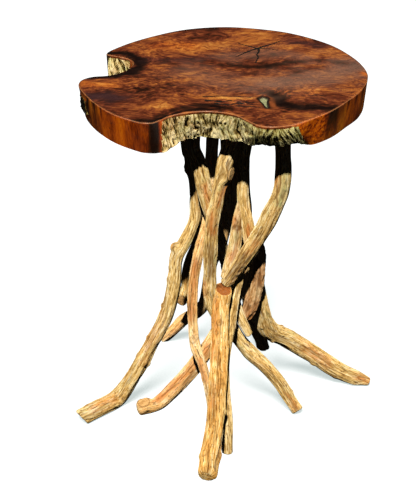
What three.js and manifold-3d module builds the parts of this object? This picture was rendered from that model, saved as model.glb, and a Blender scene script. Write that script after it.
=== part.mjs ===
// A mushroom-shaped side table: a thick live-edge round of polished wood on a bundle
// of crossing driftwood branches. Millimetres, Z up, floor at z = 0, front towards -Y.
import * as THREE from 'three';
import { mergeVertices } from 'three/addons/utils/BufferGeometryUtils.js';
import Module from 'manifold-3d';

const wasm = await Module();
wasm.setup();

// Driving dimensions
const TABLE_HEIGHT = 640;
const SLAB_THICKNESS = 56;
const JOINT_GAP = 0.3;
const SLAB_UNDERSIDE = TABLE_HEIGHT - SLAB_THICKNESS;

// How finely the shapes are stepped
const BRANCH_SIDES = 10;
const STEP_LENGTH = 27;
const OUTLINE_STEPS = 3;
const TOOL_SIZE = 900;

const driftwood = { color: 0xcda25f, roughness: 0.78, metalness: 0 };
const barkyDriftwood = { color: 0xb08560, roughness: 0.85, metalness: 0 };
const polishedSlab = { color: 0x7a4023, roughness: 0.3, metalness: 0 };

// Slab outline, clockwise from above, starting at the notch's rear corner.
// Each row is [x, y at the top face, x, y at the underside].
const SLAB_CENTRE = [0, 27];
const SLAB_OUTLINE = [
  [-213, 130, -210, 128], [-184, 180, -181, 178], [-127, 235, -125, 231], [-69, 272, -68, 267],
  [3, 287, 3, 282], [71, 275, 70, 270], [130, 249, 127, 244], [197, 187, 192, 183],
  [231, 127, 226, 124], [250, 71, 245, 70], [256, 13, 250, 13], [241, -53, 235, -50],
  [215, -105, 209, -98], [184, -154, 178, -147], [147, -195, 145, -174], [112, -223, 128, -164],
  [79, -232, 96, -180], [58, -227, 70, -172], [41, -208, 46, -174], [24, -184, 30, -157],
  [7, -170, 12, -153], [-21, -162, -12, -141], [-46, -162, -38, -137], [-70, -170, -61, -146],
  [-91, -184, -80, -166], [-108, -204, -95, -200], [-122, -215, -112, -211], [-139, -213, -134, -209],
  [-157, -201, -153, -196], [-186, -174, -182, -168], [-213, -135, -208, -130], [-233, -95, -227, -91],
  [-248, -54, -240, -50], [-254, -27, -243, -23], [-249, -6, -236, -4], [-232, 10, -223, 7],
  [-206, 16, -201, 10], [-188, 26, -183, 20], [-171, 48, -165, 42], [-162, 76, -156, 74],
  [-168, 97, -165, 99], [-188, 116, -188, 118],
];
// Stretches of rough bark, as the first and last outline row of each
const BARK_STRETCHES = [{ first: 14, last: 26, ridge: 4.0 }, { first: 37, last: 41, ridge: 2.0 }];
const RIM_ROUNDING = 3;
// Rows of the wall from the top rim down, as a share of the thickness
const WALL_LEVELS = [0, 0.02, 0.06, 0.22, 0.42, 0.62, 0.82, 0.97, 1];

// Branch routes: [x, y, z, radius] along each piece, from its top to its foot
const BRANCHES = {
  leg_left: {
    seed: 0.4,
    route: [
      [-69, -5, 590, 13], [-63, -7, 515, 12], [-58, -9, 497, 11], [-55, -11, 471, 11],
      [-52, -14, 452, 10], [-50, -16, 432, 10],
      [-49, -18, 411, 10.5], [-50, -22, 383, 10.5], [-58, -27, 360, 11], [-70, -33, 336, 11.5],
      [-83, -37, 313, 12], [-87, -39, 281, 11.5], [-91, -40, 245, 12], [-104, -42, 193, 13],
      [-135, -43, 130, 13.5], [-165, -44, 72, 13.5], [-197, -34, 15.5, 15.5],
      [-227, -68, 14, 15.5], [-268, -110, 14, 15],
    ],
    knobs: [{ from: [-79, -36, 326], to: [-97, -40, 337], radius: 7.5 }],
    cuts: [{ at: [-262, -103, 14], normal: [-0.72, -0.45, -0.52] }],
  },
  leg_front: {
    seed: 1.7,
    route: [
      [2, -99, 305, 16.5], [0, -101, 268, 16], [-4, -108, 247, 15], [-6, -138, 204, 15],
      [-8, -174, 159, 15.5], [-11, -208, 111, 15.5], [-15, -236, 70, 16], [-22, -264, 40, 17],
      [-28, -296, 16, 19], [-30, -304, 12, 19],
    ],
    knobs: [],
    cuts: [{ at: [3, -101, 277], normal: [0.06, -0.32, 0.95] }],
  },
  leg_prop: {
    seed: 2.9,
    route: [
      [33.5, -79, 309, 5], [30.5, -79, 285, 5], [26.5, -80, 264, 5], [22.5, -86, 244, 5.5],
      [19.5, -93, 226, 6], [16.5, -102, 208, 6.5], [13, -111, 193, 7.5], [9, -123, 180, 8],
      [3, -146, 154, 9], [4, -176, 108, 9.5], [7, -194, 70, 10], [8, -200, 20, 10.3],
      [8, -203, -6, 10.5],
    ],
    knobs: [],
    cuts: [],
  },
  leg_front_left: {
    seed: 4.1,
    route: [
      [24, 38, 590, 12], [25, 10, 458, 12], [27, -5, 405, 12], [30, -13, 367, 12],
      [34, -18, 329, 12.5], [36, -20, 294, 12.5], [32, -17, 253, 12.5], [21, -20, 214, 12.5],
      [4, -29, 181, 12.5], [-23, -38, 132, 13], [-51, -48, 91, 13.5], [-90, -54, 46, 13.5],
      [-123, -58, 16, 13.5], [-158, -72, 12, 12.5],
    ],
    knobs: [{ from: [-146, -62, 12], to: [-147, -71, 28], radius: 11 }],
    cuts: [],
  },
  leg_front_right: {
    seed: 5.3,
    route: [
      [-7, -74, 254, 12], [6, -68, 208, 12], [24, -60, 163, 12.5], [50, -56, 125, 13.5],
      [81, -55, 93, 13.5], [108, -56, 59, 12.5], [127, -59, 26, 12], [141, -70, 7, 11.5],
    ],
    knobs: [],
    cuts: [],
  },
  leg_right: {
    seed: 6.2,
    route: [
      [36, 72, 590, 12], [37, 48, 426, 12], [44, 14, 341, 13], [58, -16, 270, 13],
      [70, -10, 197, 15], [86, 14, 137, 17.5], [121, 36, 106, 17], [172, 46, 67, 16.5],
      [223, 50, 27, 16.5], [256, 45, 14, 15], [284, 39, 8, 8],
    ],
    knobs: [{ from: [94, 22, 122], to: [96, 11, 106], radius: 5 }],
    cuts: [],
  },
  leg_back_left: {
    seed: 0.9,
    route: [
      [9, 72, 590, 12], [8, 84, 411, 12], [6, 100, 312, 11.5], [-4, 108, 270, 12],
      [-20, 118, 226, 11.5], [-26, 130, 168, 11], [-41, 168, 99, 11.5], [-75, 204, 56, 11.5],
      [-105, 219, 17, 10.5], [-118, 227, 2, 10.5],
    ],
    knobs: [],
    cuts: [],
  },
  leg_back_right: {
    seed: 2.2,
    route: [
      [28, 106, 590, 12], [27, 110, 380, 12], [32, 119, 283, 12], [42, 130, 192, 12.5],
      [55, 148, 118, 13], [66, 168, 63, 13], [79, 186, 18, 13], [84, 193, -6, 13],
    ],
    knobs: [],
    cuts: [],
  },
  post_crossing: {
    seed: 3.6,
    route: [
      [-52, -62, 590, 12], [-53, -62, 534, 12], [-45, -61, 511, 12.5], [-38, -60, 480, 13],
      [-33, -60, 447, 13.5],
      [-21, -58, 402, 12], [-7, -16, 340, 11.5], [4, 2, 288, 11.5], [13, -14, 257, 10.5],
      [19, -40, 243, 9.5], [23, -56, 230, 9], [31, -64, 204, 8.5], [49, -67, 166, 7.5],
    ],
    knobs: [],
    cuts: [],
  },
  post_front: {
    seed: 4.8,
    route: [
      [25, -96, 590, 13.5], [16, -97, 561, 14], [5, -98, 526, 14.5], [-3, -99, 493, 13],
      [-11, -99, 454, 12.5], [-18, -98, 421, 13], [-22, -96, 378, 13], [-23, -95, 336, 12],
      [-24, -93, 291, 12], [-22, -92, 250, 12], [-12, -92, 214, 8.5],
    ],
    knobs: [
      { from: [-1, -98, 503], to: [14, -110, 501], radius: 13 },
      { from: [-24, -93, 275], to: [-37, -96, 275], radius: 12 },
    ],
    cuts: [],
  },
  post_thin: {
    seed: 6.9,
    route: [
      [-16, -36, 590, 12], [-21, -36, 506, 11.5], [-22, -34, 468, 10], [-24, -33, 419, 9],
      [-31, -38, 375, 8.5], [-43, -62, 336, 8.8], [-51, -72, 297, 9], [-55, -82, 246, 8.8],
      [-54, -90, 199, 8.8], [-50, -98, 162, 9.5], [-38, -108, 128, 9], [-27, -117, 85, 8.5],
      [-17, -119, 12, 8], [-14, -120, -5, 8],
    ],
    knobs: [],
    cuts: [],
  },
  brace_right: {
    seed: 1.1,
    route: [
      [100, -129, 590, 13.5], [102, -129, 516, 13.5], [98, -126, 475, 14], [84, -119, 437, 14.5],
      [71, -110, 402, 14.5], [53, -102, 365, 14], [34, -97, 331, 14], [15, -88, 297, 13],
      [6, -84, 281, 12],
    ],
    knobs: [],
    cuts: [],
  },
  post_middle: {
    seed: 5.9,
    route: [
      [40, -50, 590, 14.5], [35, -50, 506, 12], [35, -52, 463, 9.5], [37, -56, 422, 10],
      [43, -66, 390, 11.5], [50, -77, 353, 11],
    ],
    knobs: [],
    cuts: [],
  },
  brace_crook: {
    seed: 3.1,
    route: [
      [33, -50, 427, 7], [29, -58, 405, 10], [24, -66, 372, 12.5], [19, -72, 343, 12.5],
      [13, -80, 318, 11.5], [4, -86, 290, 9],
    ],
    knobs: [],
    cuts: [],
  },
  brace_bark: {
    seed: 0.2,
    barky: true,
    route: [
      [58, -62, 364, 9], [64, -60, 335, 12], [64, -56, 306, 12.5], [62, -48, 269, 12.5],
      [56, -41, 231, 13], [48, -38, 205, 12], [40, -38, 187, 9],
    ],
    knobs: [],
    cuts: [],
  },
  stub_left: {
    seed: 2.5,
    route: [
      [-57, 70, 590, 11], [-50, 90, 428, 11.5], [-38, 106, 329, 11], [-41, 114, 282, 11.5],
      [-55, 121, 235, 12], [-64, 125, 199, 12.5], [-67, 125, 171, 11.5], [-72, 125, 151, 12],
      [-79, 122, 140, 11.5], [-91, 116, 132, 11],
    ],
    knobs: [],
    cuts: [{ at: [-79, 122, 140], normal: [-0.5, -0.8, -0.33] }],
  },
};

// Where two pieces touch, the first is notched to sit flush against the second
const FLUSH_CONTACTS = [
  ['brace_right', 'leg_front'],
  ['post_front', 'leg_front'],
  ['brace_crook', 'leg_front'],
  ['brace_crook', 'brace_right'],
  ['brace_crook', 'post_middle'],
  ['post_middle', 'brace_right'],
  ['post_crossing', 'leg_front_left'],
  ['post_thin', 'post_crossing'],
  ['leg_front_right', 'post_front'],
  ['leg_front_right', 'leg_front'],
  ['leg_front_right', 'post_crossing'],
  ['leg_prop', 'brace_right'],
  ['leg_prop', 'post_crossing'],
  ['leg_front_left', 'leg_right'],
  ['brace_bark', 'leg_right'],
  ['brace_bark', 'post_middle'],
];

// Drying cracks and the knot hole in the top face
const CRACK_CENTRE = [65, 162];
const CRACK_TIPS = [[106, 203], [26, 116], [58, 84], [42, 180]];
const CRACK_WIDTH = 3.5;
const CRACK_DEPTH = 9;
const KNOT_HOLE = { at: [69, -112], length: 42, width: 13, depth: 7 };

// Solid and mesh helpers

function solidOf(geometry) {
  const bare = geometry.clone();
  bare.deleteAttribute('normal');
  bare.deleteAttribute('uv');
  const merged = mergeVertices(bare, 1e-4);
  return new wasm.Manifold(new wasm.Mesh({
    numProp: 3,
    vertProperties: merged.attributes.position.array,
    triVerts: merged.index.array,
  }));
}

function meshOf(solid, name, look) {
  const shape = solid.getMesh();
  const geometry = new THREE.BufferGeometry();
  geometry.setAttribute('position', new THREE.BufferAttribute(shape.vertProperties, 3));
  geometry.setIndex(new THREE.BufferAttribute(shape.triVerts, 1));
  geometry.computeVertexNormals();
  const mesh = new THREE.Mesh(geometry, new THREE.MeshStandardMaterial(look));
  mesh.name = name;
  return mesh;
}

// A block that fills everything on the side of a plane that its normal points to
function halfSpace(at, normal) {
  const block = new THREE.BoxGeometry(TOOL_SIZE, TOOL_SIZE, TOOL_SIZE);
  block.translate(0, 0, TOOL_SIZE / 2);
  const turn = new THREE.Quaternion().setFromUnitVectors(
    new THREE.Vector3(0, 0, 1),
    new THREE.Vector3(...normal).normalize(),
  );
  block.applyQuaternion(turn);
  block.translate(...at);
  return solidOf(block);
}

// Branches

// How far a branch swells or shrinks, as a share of its radius, round and along it
function swelling(seed, angle, along) {
  return 1
    + 0.055 * Math.sin(2 * angle + 0.016 * along + seed)
    + 0.035 * Math.sin(3 * angle - 0.027 * along + 2.1 * seed)
    + 0.03 * Math.sin(0.075 * along + 1.7 * seed);
}

function radiusAt(route, position) {
  const low = Math.min(Math.floor(position), route.length - 2);
  return THREE.MathUtils.lerp(route[low][3], route[low + 1][3], position - low);
}

// A closed cylinder laid along the route, with the route's own radius
function branchGeometry(branch, extra) {
  const { route, seed } = branch;
  const curve = new THREE.CatmullRomCurve3(
    route.map(([x, y, z]) => new THREE.Vector3(x, y, z)), false, 'centripetal',
  );
  const length = curve.getLength();
  const steps = Math.max(5, Math.round(length / STEP_LENGTH));
  const frames = curve.computeFrenetFrames(steps, false);
  const geometry = new THREE.CylinderGeometry(1, 1, 1, BRANCH_SIDES, steps);
  const position = geometry.attributes.position;
  const local = new THREE.Vector3();
  for (let i = 0; i < position.count; i += 1) {
    local.fromBufferAttribute(position, i);
    const share = 0.5 - local.y;
    const step = Math.round(share * steps);
    const along = curve.getUtoTmapping(share) * (route.length - 1);
    const angle = Math.atan2(local.z, local.x);
    const radius = (radiusAt(route, along) * swelling(seed, angle, share * length) + extra)
      * Math.hypot(local.x, local.z);
    const centre = curve.getPointAt(share);
    centre.addScaledVector(frames.tangents[step], -2 * extra * local.y);
    centre.addScaledVector(frames.normals[step], radius * Math.cos(angle));
    centre.addScaledVector(frames.binormals[step], radius * Math.sin(angle));
    position.setXYZ(i, centre.x, centre.y, centre.z);
  }
  return geometry;
}

// A short sawn side stub, from inside the branch outwards
function knobSolid({ from, to, radius }, extra) {
  const start = new THREE.Vector3(...from);
  const end = new THREE.Vector3(...to);
  const reach = end.clone().sub(start);
  const length = reach.length() + extra;
  const geometry = new THREE.CylinderGeometry(radius * 0.85 + extra, radius + extra, length, 8);
  geometry.translate(0, length / 2, 0);
  geometry.applyQuaternion(new THREE.Quaternion().setFromUnitVectors(
    new THREE.Vector3(0, 1, 0), reach.normalize(),
  ));
  geometry.translate(...from);
  return solidOf(geometry);
}

// The whole piece; extra is how much fatter than the real one it is made
function branchSolid(branch, extra) {
  let solid = solidOf(branchGeometry(branch, extra));
  for (const knob of branch.knobs) {
    solid = solid.add(knobSolid(knob, extra));
  }
  for (const { at, normal } of branch.cuts) {
    const shift = new THREE.Vector3(...normal).setLength(extra);
    solid = solid.subtract(halfSpace([at[0] + shift.x, at[1] + shift.y, at[2] + shift.z], normal));
  }
  return solid;
}

function branchMeshes() {
  const underSlab = halfSpace([0, 0, SLAB_UNDERSIDE - JOINT_GAP], [0, 0, 1]);
  const underFloor = halfSpace([0, 0, 0], [0, 0, -1]);
  const solids = {};
  for (const [name, branch] of Object.entries(BRANCHES)) {
    solids[name] = branchSolid(branch, 0).subtract(underSlab).subtract(underFloor);
  }
  for (const [yielding, holding] of FLUSH_CONTACTS) {
    const cutter = branchSolid(BRANCHES[holding], JOINT_GAP);
    solids[yielding] = solids[yielding].subtract(cutter);
  }
  return Object.entries(solids).map(([name, solid]) => meshOf(
    largestPiece(solid), name, BRANCHES[name].barky ? barkyDriftwood : driftwood,
  ));
}

// Notching can leave a loose sliver beyond the notch: only the main body is kept
function largestPiece(solid) {
  const bodies = solid.decompose();
  return bodies.reduce((best, body) => (body.volume() > best.volume() ? body : best));
}

// Slab

function closedCurve(rows, column) {
  return new THREE.CatmullRomCurve3(
    rows.map((row) => new THREE.Vector3(row[column], row[column + 1], 0)), true, 'centripetal',
  );
}

// Bark relief in millimetres: vertical ridges that slant and break up towards the underside
function barkRelief(row, level) {
  const stretch = BARK_STRETCHES.find(({ first, last }) => row > first && row < last);
  if (!stretch) {
    return 0;
  }
  const fade = Math.sin(Math.PI * (row - stretch.first) / (stretch.last - stretch.first));
  const ridges = Math.sin(9.1 * row + 2 * level) + 0.7 * Math.sin(5.3 * row - 5 * level + 1);
  return stretch.ridge * Math.sqrt(fade) * level * ridges;
}

function slabGeometry() {
  const rows = SLAB_OUTLINE.length;
  const around = rows * OUTLINE_STEPS;
  const levels = WALL_LEVELS.length - 1;
  const top = closedCurve(SLAB_OUTLINE, 0);
  const underside = closedCurve(SLAB_OUTLINE, 2);
  const geometry = new THREE.CylinderGeometry(1, 1, 1, around, levels);
  const position = geometry.attributes.position;
  const local = new THREE.Vector3();
  for (let i = 0; i < position.count; i += 1) {
    local.fromBufferAttribute(position, i);
    const level = WALL_LEVELS[Math.round((0.5 - local.y) * levels)];
    const height = TABLE_HEIGHT - SLAB_THICKNESS * level;
    if (Math.hypot(local.x, local.z) < 0.5) {
      position.setXYZ(i, ...SLAB_CENTRE, height);
      continue;
    }
    // The cylinder turns the other way round than the outline, once laid flat
    const turn = Math.atan2(local.x, local.z) / (2 * Math.PI);
    const share = Math.round(((1 - turn) % 1) * around) / around;
    const rim = top.getPoint(share).lerp(underside.getPoint(share), level);
    const inward = new THREE.Vector3(SLAB_CENTRE[0] - rim.x, SLAB_CENTRE[1] - rim.y, 0).normalize();
    const rounding = RIM_ROUNDING * Math.max(0, 1 - level / 0.06) ** 2;
    rim.addScaledVector(inward, rounding - barkRelief(share * rows, level));
    position.setXYZ(i, rim.x, rim.y, height);
  }
  return geometry;
}

// A slender four-sided wedge sunk into the top face, from one point to another
function crackSolid([startX, startY], [endX, endY]) {
  const length = Math.hypot(endX - startX, endY - startY);
  const wedge = new THREE.CylinderGeometry(1, 0.4, CRACK_DEPTH, 4);
  wedge.rotateX(Math.PI / 2);
  wedge.scale(length / 2, CRACK_WIDTH / 2, 1);
  wedge.rotateZ(Math.atan2(endY - startY, endX - startX));
  wedge.translate((startX + endX) / 2, (startY + endY) / 2, TABLE_HEIGHT - CRACK_DEPTH / 2 + 1);
  return solidOf(wedge);
}

function knotHoleSolid() {
  const pit = new THREE.CylinderGeometry(1, 0.55, KNOT_HOLE.depth, 9);
  pit.rotateX(Math.PI / 2);
  pit.scale(KNOT_HOLE.width / 2, KNOT_HOLE.length / 2, 1);
  pit.translate(...KNOT_HOLE.at, TABLE_HEIGHT - KNOT_HOLE.depth / 2 + 1);
  return solidOf(pit);
}

function slabMesh() {
  let solid = solidOf(slabGeometry()).subtract(knotHoleSolid());
  for (const tip of CRACK_TIPS) {
    const tail = [
      CRACK_CENTRE[0] - 0.08 * (tip[0] - CRACK_CENTRE[0]),
      CRACK_CENTRE[1] - 0.08 * (tip[1] - CRACK_CENTRE[1]),
    ];
    solid = solid.subtract(crackSolid(tail, tip));
  }
  return meshOf(solid, 'tabletop_slab', polishedSlab);
}

const table = new THREE.Group();
table.add(slabMesh(), ...branchMeshes());

// The origin is on the floor, under the middle of the whole table
const extent = new THREE.Box3().setFromObject(table);
const middle = extent.getCenter(new THREE.Vector3());
table.position.set(-middle.x, -middle.y, 0);

export default table;
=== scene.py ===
"""A mushroom-shaped side table: a thick live-edge round of oiled wood on driftwood branches.

Places and sizes are in millimetres as the woodworker would measure them, z up from the floor.
They are turned to metres, and moved onto the frame's own origin, when a mesh is made.
"""

import bmesh
import bpy
import numpy as np
from bpy.props import FloatProperty, FloatVectorProperty, PointerProperty
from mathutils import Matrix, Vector


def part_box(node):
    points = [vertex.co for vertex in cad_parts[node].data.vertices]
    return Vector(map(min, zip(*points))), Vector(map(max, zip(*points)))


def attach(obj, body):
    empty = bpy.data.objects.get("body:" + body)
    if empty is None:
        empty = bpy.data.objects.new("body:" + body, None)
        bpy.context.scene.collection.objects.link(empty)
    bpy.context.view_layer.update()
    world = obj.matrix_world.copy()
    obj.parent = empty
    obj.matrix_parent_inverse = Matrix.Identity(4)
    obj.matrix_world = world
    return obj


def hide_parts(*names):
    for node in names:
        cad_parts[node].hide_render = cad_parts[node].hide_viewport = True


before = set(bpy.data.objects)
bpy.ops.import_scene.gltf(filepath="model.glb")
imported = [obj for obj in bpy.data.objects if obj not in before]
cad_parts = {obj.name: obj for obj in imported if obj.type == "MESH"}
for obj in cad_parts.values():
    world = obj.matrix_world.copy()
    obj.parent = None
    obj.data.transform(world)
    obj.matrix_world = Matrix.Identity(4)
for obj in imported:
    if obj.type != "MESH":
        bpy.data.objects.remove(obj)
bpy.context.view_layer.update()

bl_info = {
    "name": "Driftwood Mushroom Table",
    "version": (1, 0, 0),
    "blender": (4, 5, 0),
    "location": "3D View > Sidebar > Driftwood Table",
    "description": "Builds a live-edge round on a bundle of crossing driftwood branches",
    "category": "Add Mesh",
}

MM = 0.001
TABLE_HEIGHT = 640.0
SLAB_THICKNESS = 56.0
SLAB_UNDERSIDE = TABLE_HEIGHT - SLAB_THICKNESS
JOINT_GAP = 0.3

# How finely the meshes are stepped: in millimetres, and as counts of steps, columns and rings
ROUTE_STEPS = 40
BRANCH_STEP = 1.6
BRANCH_COLUMNS = 72
CAP_RINGS = 7
BARK_STEP = 1.15
SAWN_STEP = 3.4
WALL_STEP = 1.4

# How far an end is worn round, in millimetres: one in the open, and one cut flat at slab or floor
OPEN_END_WEAR = 3.0
FLAT_END_WEAR = 0.4
# How fast the grain winds round a branch, in radians a millimetre
GRAIN_TWIST = 0.0016
# How far from its foot a branch has no random knots
KNOT_FREE_FOOT = 20
# How far past its middle a branch is searched for the plane that cuts its end
SEARCH_PAST_MIDDLE = 20

SLAB_CENTRE = np.array((0.0, 27.0))
# Clockwise from above, starting at the notch's rear corner: x and y at the top, then underneath
SLAB_OUTLINE = [
    (-213, 130, -210, 128), (-184, 180, -181, 178), (-127, 235, -125, 231), (-69, 272, -68, 267),
    (3, 287, 3, 282), (71, 275, 70, 270), (130, 249, 127, 244), (197, 187, 192, 183),
    (231, 127, 226, 124), (250, 71, 245, 70), (256, 13, 250, 13), (241, -53, 235, -50),
    (215, -105, 209, -98), (184, -154, 178, -147), (147, -195, 145, -174), (112, -223, 128, -164),
    (79, -232, 96, -180), (58, -227, 70, -172), (41, -208, 46, -174), (24, -184, 30, -157),
    (7, -170, 12, -153), (-21, -162, -12, -141), (-46, -162, -38, -137), (-70, -170, -61, -146),
    (-91, -184, -80, -166), (-108, -204, -95, -200), (-122, -215, -112, -211), (-139, -213, -134, -209),
    (-157, -201, -153, -196), (-186, -174, -182, -168), (-213, -135, -208, -130), (-233, -95, -227, -91),
    (-248, -54, -240, -50), (-254, -27, -243, -23), (-249, -6, -236, -4), (-232, 10, -223, 7),
    (-206, 16, -201, 10), (-188, 26, -183, 20), (-171, 48, -165, 42), (-162, 76, -156, 74),
    (-168, 97, -165, 99), (-188, 116, -188, 118),
]
# How many steps the curve takes from one point of the outline to the next, here and in the CAD model
OUTLINE_STEPS = 60
CAD_OUTLINE_STEPS = 12
# Outline rows between which the bark was left on, at the rim and at the underside, and the share
# of a row over which it begins and ends
BARK_STRETCHES = [(14.73, 24.69, 14.32, 25.48), (40.1, 41.8, 40.3, 41.88)]
BARK_FADE = 0.12
RIM_ROUNDING = 2.2
# How much of the way out from the middle each ring of the flat top is, and each ring underneath
TOP_SHARES = np.append(np.linspace(0, 0.93, 27), (0.955, 0.975, 0.99, 1.0))
UNDER_SHARES = np.append((0.985, 0.965, 0.94, 0.9), np.linspace(0.82, 0, 10))
# A burr with bark on it, on the wall left of an x: where its middle is in y, how wide it is, how
# far it stands out, and how far down the wall it begins and ends
BURR = dict(y=-66, half_width=21, left_of=-200, proud=4.5, begins=(6, 13), ends=(34, 42))
# The heart of the root, where the growth rings have their middle
ROOT_HEART = (65, 162)

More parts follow.
